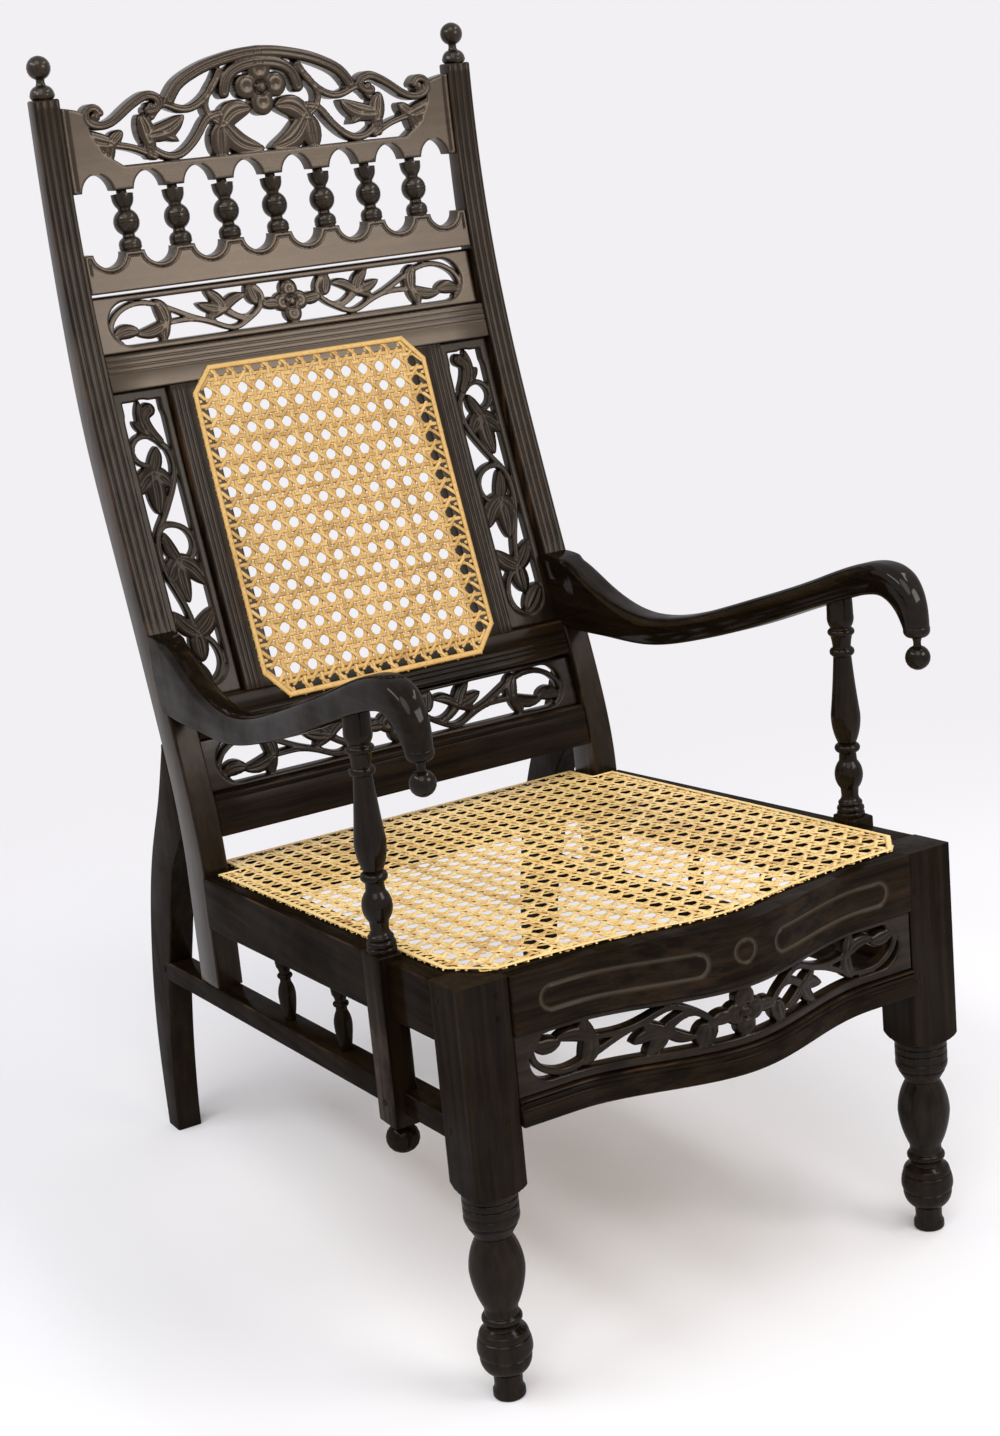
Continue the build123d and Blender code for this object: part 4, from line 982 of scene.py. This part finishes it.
class Weave:
    """Six-way hand caning inside an outline: paired uprights, paired rows and two slanting sets.

    Each set gives its strands one by one, as their points in millimetres (across, along, out) and their tone.
    """

    def __init__(self, name, outline, pitch, place, seed):
        self.name = name
        self.outline = np.array(outline, float)
        self.pitch = np.array(pitch, float)
        self.place = place
        self.tones = np.random.default_rng(seed)
        self.low = self.outline.min(0)
        self.high = self.outline.max(0)
        self.origin = (self.low + self.high) / 2

    def strand(self, start, end, ride, spacing):
        """The stretches of one straight strand that lie inside the outline."""
        start, end = np.array(start, float), np.array(end, float)
        count = max(2, int(hypot(*(end - start)) / spacing))
        points = start + (end - start) * np.linspace(0, 1, count)[:, None]
        tone = self.tones.uniform(0, 1)
        drift = self.tones.normal(0, 0.22, 2)
        run = []
        for point, kept in zip(points, inside_outline(points, self.outline)):
            if kept:
                run.append((*(point + drift), ride(*((point - self.origin) / self.pitch))))
            elif run:
                if len(run) > 3:
                    yield run, tone
                run = []

    def pairs(self, axis):
        """Strands in pairs along one axis: 1 for the uprights and 0 for the rows."""
        across = 1 - axis
        low, high, pitch = self.low[across], self.high[across], self.pitch[across]
        count = int((high - low) / pitch) + 2
        for number in range(-count, count):
            for side in (-1, 1):
                middle = self.origin[across] + (number + 0.5 + side * PAIR_GAP) * pitch
                if not low < middle - pitch / 2 < middle + pitch / 2 < high:
                    continue
                start, end = np.full((2, 2), middle)
                start[axis], end[axis] = self.low[axis], self.high[axis]
                swing = side * UNDER if axis else -side * UNDER
                ride = lambda *at: swing * sin(2 * pi * (at[axis] - 0.5))
                yield from self.strand(start, end, ride, STRAND_STEP)

    def slants(self, side):
        """Strands that slant one way; side is 1 for rising to the left and -1 for rising to the right."""
        wide, tall = self.high - self.low
        most = int(wide / self.pitch[0] + tall / self.pitch[1]) + 3
        reach = side * (tall / self.pitch[1] * self.pitch[0]) / 2
        for number in range(-most, most):
            first = self.origin[0] + (number + 0.5) * self.pitch[0]
            start = first + reach, self.origin[1] - tall / 2
            end = first - reach, self.origin[1] + tall / 2
            yield from self.strand(start, end, lambda a, b: -side * OVER * cos(2 * pi * a), SLANT_STEP)

    def border(self):
        """A line just inside the outline, and the ways inward from it."""
        line = []
        for a, b in zip(self.outline, np.roll(self.outline, -1, axis=0)):
            count = max(1, int(hypot(*(b - a)) / 3))
            line += [a + (b - a) * t for t in np.linspace(0, 1, count, endpoint=False)]
        line = np.array(line)
        ahead = np.roll(line, -1, axis=0) - np.roll(line, 1, axis=0)
        inward = np.stack([-ahead[:, 1], ahead[:, 0]], axis=1) / np.linalg.norm(ahead, axis=1)[:, None]
        if np.mean(np.sum(inward * (self.outline.mean(axis=0) - line), axis=1)) < 0:
            inward = -inward
        return line + inward * BORDER_INSET, inward

    def binder(self):
        """The strand that runs round the border."""
        run = [(*point, 1.0) for point in self.border()[0]]
        yield run + run[:1], 0.35

    def loops(self):
        """The short strands that hold the binder down."""
        line, inward = self.border()
        walked = walk(line)
        for stop in np.arange(0, walked[-1], self.pitch[0] / 2):
            i = min(int(np.searchsorted(walked, stop)), len(line) - 1)
            offsets = [(-3.0, -0.6), (-2.3, 1.0), (0, 1.75), (2.3, 1.0), (3.0, -0.6)]
            yield [(*(line[i] + inward[i] * off), n) for off, n in offsets], self.tones.uniform(0.1, 0.8)

    def make(self, part, paths, wide, thick):
        """Bake one set of strands as a piece."""
        points, edges, tones = [], [], []
        for run, tone in paths:
            base = len(points)
            points += [(x * MM, y * MM, n * MM) for x, y, n in run]
            edges += [(base + i, base + i + 1) for i in range(len(run) - 1)]
            tones += [tone] * len(run)
        source = bpy.data.meshes.new(self.name + part)
        source.from_pydata(points, edges, [])
        spread(source, "tone", tones)
        numbers = {"Strand width": wide * MM, "Strand thickness": thick * MM}
        piece = grow(self.name + part, source, strand_tree(CANE[self.name]), numbers)
        placed = self.place(*(points_of(piece) / MM).T)
        piece.data.vertices.foreach_set("co", placed.ravel())
        piece.data.update()
        piece.data.shade_smooth()
        return piece


def caned_panel(weave, strand):
    """All the strands of a caned panel, which together stand for the solid panel."""
    for part, paths, (wide, thick) in (
        ("_uprights", weave.pairs(1), strand),
        ("_rows", weave.pairs(0), strand),
        ("_slants_left", weave.slants(1), strand),
        ("_slants_right", weave.slants(-1), strand),
        ("_binder", weave.binder(), (5.6, 1.5)),
        ("_loops", weave.loops(), (2.3, 0.5)),
    ):
        finish_piece(weave.make(part, paths, wide, thick), None, weave.name, slot=weave.name)


def back_panel():
    """The caned panel of the back."""
    corners = [(117, 852), (140, 826), (141, 536), (117, 508)]
    outline = corners + [(-x, z) for x, z in reversed(corners)]

    def place(x, z, out):
        slope = (back_depth(z + 1) - back_depth(z - 1)) / 2
        square = np.sqrt(1 + slope**2)
        return chair(x, back_depth(z) + BACK_RECESS + 0.9 - (out + 0.9) / square, z + out * slope / square)

    caned_panel(Weave("cane_back", outline, (20.6, 20.6), place, 7), (4.2, 0.7))


def seat_panel():
    """The caned panel of the seat."""
    sides = [(213, 20), (232, 45), (243, 60), (243, 548), (217, 548), (217, 597)]
    bow = [(165, 18), (100, 10), (50, -2), (0, -12), (-50, -2), (-100, 10), (-165, 18)]
    front = curve_through(bow, 40)
    outline = [*[tuple(p) for p in front], *[(-x, u) for x, u in sides], *reversed(sides)]

    def place(x, depth, out):
        return chair(x, depth + out * SEAT_SLOPE, seat_height(depth) + 1.1 + out)

    caned_panel(Weave("cane_seat", outline, (22.0, 22.8), place, 11), (4.5, 0.8))


# ---------------------------------------------------------------- boards
def in_back(x, height, inset, is_far):
    """Points of a board of the back's frame, which follows the back's curve."""
    face = back_depth(height) + BACK_RECESS
    return chair(x, np.where(is_far, face + BACK_RAIL_THICK - inset, face + inset), height)


def inner_stiles():
    """The reeded uprights beside the caned panel."""

    def place(height, x, inset, is_far):
        return in_back(x, height, inset, is_far)

    section = soft_section(INNER_STILE_NEAR, INNER_STILE_FAR, reeds=(147.5, 152.5, 157.5))
    piece = bar("inner_stile_look", BOTTOM_RAIL_TOP, TOP_RAIL_FOOT, 8, section, place)
    pair(piece, "waxed_upright", "inner_stile_right")


def level_board(node, low, high, reeds, wood="across"):
    """A level rail between the stiles, reeded at some heights."""
    section = soft_section(low, high, reeds=reeds)
    finish_piece(bar(node + "_look", -STILE_INNER, STILE_INNER, 40, section, in_back), wood, node)


def stiles():
    """The S-curved posts, reeded above the arms."""
    across, inset, far = soft_section(STILE_INNER, STILE_OUTER, 2.0, (233.5, 241.0, 248.5))
    grooves = (inset > 0.1) & ~far & (across > STILE_INNER + 3) & (across < STILE_OUTER - 3)

    def place(height, x, sunk, is_far):
        share = np.clip((height - REED_FOOT) / 12, 0, 1)
        sunk = np.where(grooves, sunk * share, sunk)
        depth = np.where(is_far, stile_rear(height) - sunk, back_depth(height) + sunk)
        return chair(x, depth, np.maximum(height, stretcher_height(depth)))

    foot = stretcher_height(STILE_BACK)
    piece = bar("stile_right_look", foot, STILE_TOP, 8, (across, inset, far), place, 2.0)
    pair(piece, "waxed_upright", "stile_right")


def rear_legs():
    """The sabre legs behind the stiles."""

    def place(height, x, sunk, is_far):
        near = np.interp(height, LEG_FRONT[:, 1], LEG_FRONT[:, 0])
        near = np.where(height > 300, np.maximum(near, stile_rear(height)), near)
        far = np.interp(height, LEG_BACK[:, 1], LEG_BACK[:, 0])
        far = np.maximum(far, near + 2 * sunk + 0.3)
        return chair(x, np.where(is_far, far - sunk, near + sunk), height)

    section = soft_section(STILE_INNER, STILE_OUTER, 2.0)
    pair(bar("rear_leg_right_look", 0, 480, 6, section, place, 0.8), "upright", "rear_leg_right")


def side_frame():
    """The side rails, the flat stretchers between the legs, and the rear rail."""
    for node, end, top, deep, wide in (
        ("side_rail_right", STILE_FRONT, seat_height, RAIL_DEEP, RAIL_WIDE),
        ("stretcher_right", STRETCHER_END, stretcher_height, STRETCHER_THICK, STRETCHER_WIDE),
    ):
        def along_side(depth, down, inset, is_far):
            outer = side_x(depth)
            return chair(np.where(is_far, outer - wide + inset, outer - inset), depth, top(depth) - down)

        piece = bar(node + "_look", LEG_SIZE, end, 30, soft_section(0, deep, 2.0), along_side)
        pair(piece, "back", node)

    def across_back(x, down, inset, is_far):
        depth = np.where(is_far, REAR_RAIL_BACK - inset, REAR_RAIL_FRONT + inset)
        return chair(x, depth, seat_height(depth) - down)

    piece = bar("rear_rail_look", -STILE_INNER, STILE_INNER, 60, soft_section(0, 50), across_back)
    finish_piece(piece, "across", "rear_rail")


def foot_rail():
    """The moulded serpentine rail under the apron, set back a little above its lower groove."""

    def place(x, height, inset, is_far):
        near = bow_depth(x) + 1.5 * (height > 274.5)
        return chair(x, np.where(is_far, bow_depth(x) + FOOT_RAIL_THICK - inset, near + inset), height)

    section = soft_section(FOOT_RAIL_FOOT, FOOT_RAIL_TOP, 2.2, (274, 279))
    piece = bar("front_bottom_rail_look", -LEG_INNER, LEG_INNER, 6, section, place)
    finish_piece(piece, "across", "front_bottom_rail")


# ---------------------------------------------------------------- turned pieces
LEG_TURNING = [
    (0, 0), (13.2, 0), (14.7, 1.5), (14.6, 7), (12.8, 15, -0.8), (13, 23), (23.3, 41, 3.2), (22.5, 41.7),
    (23.7, 42.4), (24.9, 47, 0.2), (23.2, 58, 0.5), (22.1, 58.7), (22.8, 59.4), (20.9, 65, 0.3),
    (14.6, 68.5), (15.2, 73), (15.2, 81, 3.0), (15.1, 88), (24.9, 124, 1.8), (16, 156, 2.2), (22.4, 167),
    (21.6, 168.5), (23.6, 170), (24.8, 177, 0.5), (23.8, 178.5), (24.8, 180), (24.8, 186), (23.6, 186.7),
    (24.8, 187.4), (24.8, 193), (23.6, 193.7), (24.8, 194.4), (24.8, LEG_BLOCK_FOOT), (37, 212, 3.5),
    (37, SEAT_FRONT), (0, SEAT_FRONT),
]
POST_TURNING = [
    (0, BLOCK_TOP), (13.6, BLOCK_TOP), (13.6, 394.6), (12.2, 395.6), (12.2, 401.2, 1.2), (10.6, 402.2),
    (10.6, 406.4, 1.2), (8.3, 412, -0.6), (8.8, 419), (8.8, 447, 5.0), (8.2, 455.5), (8.2, 464.5, 4.2),
    (9.2, 466), (14.2, 494, 1.6), (8.7, 552, -0.4), (8.7, 560.5, 3.3), (10.6, 572.5, -0.3), (10.6, 579, 2.4),
    (10.2, 580.5), (12.7, 592, 1.1), (12.5, 602), (12, 616), (0, 616),
]
POST_BALL = [(0, 199), (3, 199.4), (7.5, 225, 10.2), (7.5, 230), (0, 230)]
FINIAL_TURNING = [
    (0, -1), (10, -1), (10, 0), (12.5, 6, 1.5), (5.5, 14, 1.5), (4.6, 20, -0.6), (3.6, 43, 8.3), (0.4, 43.6),
]
SPINDLE_TURNING = [
    (0, -2), (5.2, -2), (5.2, 0), (8.8, 26, 0.5), (5.4, 41, 1.0), (5.4, 45), (5.4, 50, 2.3), (7.6, 57, -0.6),
    (8.6, 67.5, 0.3), (8.6, 69.5), (0, 69.5),
]
ARCADE_TURNING = [
    (0, -33), (10.5, -33), (10.5, -30.5), (11.8, -27, 0.8), (7, -17.5, 2.0), (6.4, -15.5), (6.6, -14.5),
    (13.66, -4, 1.46), (13.1, -3.7), (13.73, -3.4), (13.66, 0, 0.1), (13.1, 0.3), (13.56, 0.6),
    (6.6, 10.5, 1.33), (7.2, 12.5), (11.6, 24, 1.2), (12, 27), (5.5, 27), (5.5, 33), (0, 33),
]
PENDANT_TURNING = [
    (0, 557), (4.4, 557.8, 0.3), (3.8, 579.6, 7.6), (3.7, 584, -0.2), (4.8, 588), (12.4, 593.6, 2.2),
    (12.4, 597.2), (11, 598), (0, 598),
]


def polish_turned(piece, low, high):
    """Mark the turned stretch of a piece, between two heights in millimetres, for its brighter polish."""
    height = points_of(piece)[:, 2]
    spread(piece.data, "lathe", (height > low * MM - 0.0001) & (height < high * MM))


def front_legs():
    """The front legs: a square block over a turned foot, with the seat's slope on top."""
    half = LEG_SIZE / 2
    piece = turning("front_leg_right_look", LEG_TURNING, LEG_OUTER - half, half, section=square_section(half))
    points = points_of(piece)
    points[:, 2] = np.minimum(points[:, 2], seat_height((points[:, 1] - FRONT_Y) / MM) * MM)
    piece.data.vertices.foreach_set("co", points.ravel())
    polish_turned(piece, 0, LEG_BLOCK_FOOT)
    pair(piece, "upright", "front_leg_right")


def join(name, pieces):
    """Put several closed shapes into one piece."""
    gathered = bmesh.new()
    for piece in pieces:
        gathered.from_mesh(piece.data)
        bpy.data.objects.remove(piece)
    mesh = bpy.data.meshes.new(name)
    gathered.to_mesh(mesh)
    gathered.free()
    shade(mesh, 42)
    return add_object(name, mesh)


def arm_posts():
    """The arm supports: turned above, a lapped square block below, and a ball under it."""
    post = turning("arm_post_turning", POST_TURNING, POST_X, POST_DEPTH)

    def place(height, x, inset, is_far):
        return chair(x, np.where(is_far, BLOCK_BACK - inset, BLOCK_FRONT + inset), height)

    section = soft_section(BLOCK_INNER, BLOCK_OUTER, 1.5)
    block = bar("arm_post_block", BLOCK_FOOT, BLOCK_TOP, 40, section, place, 1.5)
    ball = turning("arm_post_ball", POST_BALL, POST_X, POST_DEPTH)
    piece = join("arm_post_right_look", [post, block, ball])
    polish_turned(piece, BLOCK_TOP + 1, 1000)
    pair(piece, "upright", "arm_post_right")


def row_tree(material):
    """Repeats a turned spindle in a centred row."""
    tree, spindle, pitch, count = start_tree("spindle_row", "Pitch", "Count")
    gaps = add_node(tree, "ShaderNodeMath", {0: count, 1: 1.0}, operation="SUBTRACT")
    half = add_node(tree, "ShaderNodeMath", {0: gaps, 1: -0.5}, operation="MULTIPLY")
    first = add_node(tree, "ShaderNodeMath", {0: half, 1: pitch}, operation="MULTIPLY")
    start = add_node(tree, "ShaderNodeCombineXYZ", {"X": first})
    step = add_node(tree, "ShaderNodeCombineXYZ", {"X": pitch})
    places = {"Count": count, "Start Location": start, "Offset": step}
    line = add_node(tree, "GeometryNodeMeshLine", places, mode="OFFSET")
    row = add_node(tree, "GeometryNodeInstanceOnPoints", {"Points": line, "Instance": spindle})
    return end_tree(tree, row, material)


def small_turnings():
    """Finials, pendants and the little spindles of the sides."""
    finial = turning("finial_right_look", FINIAL_TURNING, 241, 756, STILE_TOP)
    pair(finial, "waxed_turnings", "finial_right")
    pair(turning("arm_pendant_right_look", PENDANT_TURNING, POST_X, 28), "arm", "arm_pendant_right")
    for number, x, depth in ((1, 247.0, 270.0), (2, 245.5, 399.0)):
        name = f"side_spindle_right_{number}"
        spindle = turning(name + "_look", SPINDLE_TURNING, x, depth, stretcher_height(depth))
        pair(spindle, "upright", name)


def arcade():
    """The row of turned spindles between the arcade rail and the crest."""
    middle = (ARCADE_RAIL_TOP + CREST_FOOT) / 2
    depth = back_depth(middle) + BACK_RECESS + CREST_THICK / 2
    lean = atan2(back_depth(CREST_FOOT) - back_depth(ARCADE_RAIL_TOP), CREST_FOOT - ARCADE_RAIL_TOP)
    first = turning("arcade_pattern", ARCADE_TURNING, 0, depth, middle, lean)
    numbers = {"Pitch": ARCADE_PITCH * MM, "Count": float(ARCADE_COUNT)}
    row = grow("arcade_spindles_look", first.data.copy(), row_tree(WOOD["waxed_turnings"]), numbers)
    bpy.data.objects.remove(first)
    finish_piece(row, None, *[f"arcade_spindle_{number}" for number in range(1, ARCADE_COUNT + 1)])


# ---------------------------------------------------------------- arms
ARM_RINGS = 150
ARM_SECTIONS = [  # depth and height on top of the arm, then underneath, from the stile to the roll
    ((636, 597), (612, 518)),
    ((600, 595), (577, 516)),
    ((540, 571), (522, 517)),
    ((460, 550.5), (447, 519)),
    ((372, 560.5), (359, 536)),
    ((272, 590), (262, 564)),
    ((172, 623), (163, 598)),
    ((105, 646.5), (106, 616)),
    ((70, 653), (80, 622.5)),
    ((38, 645.5), (58, 621.5)),
    ((22, 625.5), (47, 611)),
    ((16, 594), (40, 594)),
]


def arms():
    """The arms: a crowned section that dips from the stile, rises to the post and rolls over in front."""
    tops, unders = [np.array(knots, float) for knots in zip(*ARM_SECTIONS)]
    over = curve_through(tops, ARM_RINGS)
    over_run = np.cumsum([0, *[hypot(*step) for step in np.diff(tops, axis=0)]])
    share = np.linspace(0, over_run[-1], ARM_RINGS)
    under_line = curve_through(unders, 600)
    under_walk = walk(under_line)
    under_run = [under_walk[np.argmin(np.hypot(*(under_line - knot).T))] for knot in unders]
    walked = np.interp(share, over_run, under_run)
    under = np.stack([np.interp(walked, under_walk, under_line[:, k]) for k in (0, 1)], axis=1)
    # a square block at the stile, then round shoulders, and a round tip at the end of the roll
    crowns = np.interp(share, over_run[[1, 1, 7, 9, 11]] + [0, 8, 0, 0, 0], [1.5, 9, 9, 10.5, 12])
    soles = np.interp(share, over_run[[8, 9, 11]], [3, 4.5, 12])
    halves = np.interp(share, over_run[8:], [15, 14.4, 13.1, 12])
    rings = []
    for top, bottom, half, crown, sole in zip(over, under, halves, crowns, soles):
        across, up = arm_section(hypot(*(top - bottom)), half, crown, sole)
        depth, height = [bottom[k] + (top[k] - bottom[k]) * up for k in (0, 1)]
        centre = np.interp(depth, ARM_LINE[:, 1], ARM_LINE[:, 0])
        rings.append(chair(centre + across, depth, height))
    pair(skin("arm_right_look", rings, 60.0), "arm", "arm_right", slot="arm_wood")


def arm_section(deep, half, crown, sole):
    """Across and share-of-height points of an arm section: round shoulders above and eased edges below."""
    upper = min(crown, deep * 0.5, half)
    lower = min(sole, deep * 0.5, half)
    turn = np.linspace(0, pi / 2, 7)
    right_top = [(half - upper + upper * cos(t), deep - upper + upper * sin(t)) for t in turn]
    left_top = [(-x, z) for x, z in reversed(right_top)]
    left_low = [(-half + lower - lower * cos(t), lower - lower * sin(t)) for t in turn]
    right_low = [(-x, z) for x, z in reversed(left_low)]
    points = np.array([*right_top, *left_top, *left_low, *right_low])
    return points[:, 0], points[:, 1] / deep


# ---------------------------------------------------------------- pegs
def peg_tree(material):
    """Sets a short peg on each point, turned to face along the point's own direction."""
    tree, points, radius, long = start_tree("pegs", "Peg radius", "Peg length")
    sizes = {"Vertices": 20, "Radius": radius, "Depth": long}
    peg = add_node(tree, "GeometryNodeMeshCylinder", sizes, fill_type="TRIANGLE_FAN")
    facing = add_node(tree, "GeometryNodeInputNamedAttribute", {"Name": "facing"}, data_type="FLOAT_VECTOR")
    turn = add_node(tree, "FunctionNodeAlignRotationToVector", {"Vector": facing}, axis="Z")
    copies = {"Points": points, "Instance": peg, "Rotation": turn}
    return end_tree(tree, add_node(tree, "GeometryNodeInstanceOnPoints", copies), material)


def pegs(node, places):
    """The pegs that pin the tenons, from (x, depth, height, facing)."""
    source = bpy.data.meshes.new(node)
    source.from_pydata([tuple(chair(*place)) for *place, _ in places], [], [])
    facing = source.attributes.new("facing", "FLOAT_VECTOR", "POINT")
    facing.data.foreach_set("vector", np.array([way for *_, way in places], np.float32).ravel())
    numbers = {"Peg radius": PEG_RADIUS * MM, "Peg length": PEG_LONG * MM}
    piece = grow(node + "_look", source, peg_tree(WOOD["peg"]), numbers)
    shade(piece.data, 35)
    finish_piece(piece, None, node, slot="peg_wood")


def all_pegs():
    """Front pegs on the front legs, and side pegs on the legs, posts and rear legs."""
    front = [(-226, 380), (-226, 360), (-226, 265), (222, 357), (220, 268)]
    leg_pegs = [(x, PEG_SUNK, z, (0, -1, 0)) for x, z in front]
    stretcher_pegs = []
    for side in (-1, 1):
        out = (side, 0, 0)
        leg_pegs += [(side * (LEG_OUTER - PEG_SUNK), 38, z, out) for z in (377, 256)]
        stretcher_pegs.append((side * (BLOCK_OUTER - PEG_SUNK), POST_DEPTH, 250, out))
        stretcher_pegs.append((side * (STILE_OUTER - PEG_SUNK), 713, 204.5, out))
    pegs("pegs_front_legs", leg_pegs)
    pegs("pegs_stretchers", stretcher_pegs)


# ---------------------------------------------------------------- studio
BACKDROP = (0.990, 0.972, 1.0, 1)
BACKDROP_LEVEL = 0.896
LIT_MIDDLE = Vector((0, 0.1, 0.6))
COOL = (0.92, 0.96, 1.0)
VIEW_SPOT = (-1.08232, FRONT_Y - 1.59824, 1.10984)
VIEW_PITCH, VIEW_ROLL, VIEW_YAW = 0.26429, -0.09533, -0.50533
VIEW_LENS, VIEW_FILM = 38.98, 24.0
ROOM_LEVEL = 0.5  # the even light that falls on the chair
FLOOR = (0.91, 0.90, 0.915, 1)
FLOOR_HALF = 60  # metres from the middle of the floor to its edges
FLOOR_FADE = (0.9, 2.3)  # how far from the chair the lit floor turns into the even backdrop, in metres


def seen_directly(tree):
    """1 for what the camera, a gloss or a clear material sees, and 0 for light that falls on a surface."""
    rays = tree.nodes.new("ShaderNodeLightPath").outputs
    total = rays["Is Camera Ray"]
    for ray in ("Is Glossy Ray", "Is Transmission Ray"):
        joined = tree.nodes.new("ShaderNodeMath")
        joined.operation = "MAXIMUM"
        tree.links.new(total, joined.inputs[0])
        tree.links.new(rays[ray], joined.inputs[1])
        total = joined.outputs[0]
    return total


def studio_floor():
    """A wide pale floor that keeps the chair's shadow and fades into the backdrop."""
    finish = Finish("studio_floor", roughness=0.9, specular_ior_level=0.0)
    finish.surface(base_color=FLOOR)
    place = finish.node("TexCoord", {}, {}, out="Object")
    off = finish.node("VectorMath", {"operation": "LENGTH"}, {0: place}, out="Value")
    share = off.steps(*FLOOR_FADE) * Value(finish, seen_directly(finish.tree))
    glow = finish.node("Emission", {}, {"Color": BACKDROP, "Strength": BACKDROP_LEVEL})
    mixed = finish.node("MixShader", {}, {0: share, 1: Value(finish, finish.shader.outputs[0]), 2: glow})
    finish.fill(finish.tree.nodes["Material Output"].inputs["Surface"], mixed)
    mesh = bpy.data.meshes.new("floor")
    corners = [(x * FLOOR_HALF, y * FLOOR_HALF, 0) for x, y in ((-1, -1), (1, -1), (1, 1), (-1, 1))]
    mesh.from_pydata(corners, [], [(0, 1, 2, 3)])
    mesh.materials.append(finish.material)
    floor = add_object("floor", mesh)


def hang(name, kind, spot, **settings):
    """Hang a lamp at a spot, facing the chair."""
    lamp = bpy.data.lights.new(name, kind)
    for key, value in settings.items():
        setattr(lamp, key, value)
    holder = add_object(name, lamp)
    holder.location = spot
    holder.rotation_euler = (LIT_MIDDLE - Vector(spot)).to_track_quat("-Z", "Y").to_euler()


def studio():
    """Soft light all round, a broad window light, and a softbox and two strips that show in the gloss."""
    world = bpy.data.worlds.new("studio")
    world.use_nodes = True
    bpy.context.scene.world = world
    tree = world.node_tree
    mix = tree.nodes.new("ShaderNodeMix")
    mix.inputs[2].default_value = ROOM_LEVEL
    mix.inputs[3].default_value = BACKDROP_LEVEL
    tree.links.new(seen_directly(tree), mix.inputs[0])
    background = tree.nodes["Background"].inputs
    background["Color"].default_value = BACKDROP
    tree.links.new(mix.outputs[0], background["Strength"])
    for name, spot, power, wide, high, colour in (
        ("key_softbox", (0.98, -1.9, 1.68), 22.0, 1.1, 0.8, (1.0, 0.97, 0.93)),
        ("side_strip", (-1.8, 0.2, 2.3), 20.0, 1.8, 0.4, COOL),
        ("top_strip", (1.2, -0.5, 2.5), 10.0, 1.2, 0.3, COOL),
    ):
        hang(name, "AREA", spot, shape="RECTANGLE", energy=power, size=wide, size_y=high, color=colour)
    hang("window_light", "SUN", (-0.9, -1.2, 2.6), energy=1.15, angle=radians(40))
    bpy.context.scene.view_settings.view_transform = "Standard"


def camera():
    """The view: from in front, a little to the left and above, with a slight roll."""
    pitch, roll, yaw = VIEW_PITCH, VIEW_ROLL, VIEW_YAW
    ahead = Vector((-sin(yaw) * cos(pitch), cos(yaw) * cos(pitch), -sin(pitch)))
    right = Vector((cos(yaw), sin(yaw), 0))
    up = right.cross(ahead)
    right_rolled = cos(roll) * right + sin(roll) * up
    up_rolled = cos(roll) * up - sin(roll) * right
    lens = bpy.data.cameras.new("view")
    lens.sensor_fit = "VERTICAL"
    lens.sensor_height = VIEW_FILM
    lens.lens = VIEW_LENS
    holder = add_object("view", lens)
    turn = Matrix((right_rolled, up_rolled, -ahead)).transposed().to_4x4()
    holder.matrix_world = Matrix.Translation(VIEW_SPOT) @ turn
    bpy.context.scene.camera = holder


# ---------------------------------------------------------------- the chair
camera()
studio_floor()
studio()
stiles()
rear_legs()
side_frame()
foot_rail()
front_legs()
arm_posts()
small_turnings()
arcade()
arms()
level_board("back_top_rail", TOP_RAIL_FOOT, UPPER_FRET_FOOT, (856.8, 862.8, 868.8), "waxed_across")
level_board("back_bottom_rail", LOWER_FRET_TOP + 4, BOTTOM_RAIL_TOP, (494.8, 499.8, 504.8))
level_board("lower_back_rail", 387, LOWER_FRET_FOOT, (423.8,))
inner_stiles()
crest()
arcade_rail()
level_fret("upper_fret", UPPER_FRET_FOOT, 934.5, "waxed_across")
level_fret("lower_fret", LOWER_FRET_FOOT, LOWER_FRET_TOP, "carved")
side_frets()
apron()
front_rail()
back_panel()
seat_panel()
all_pegs()
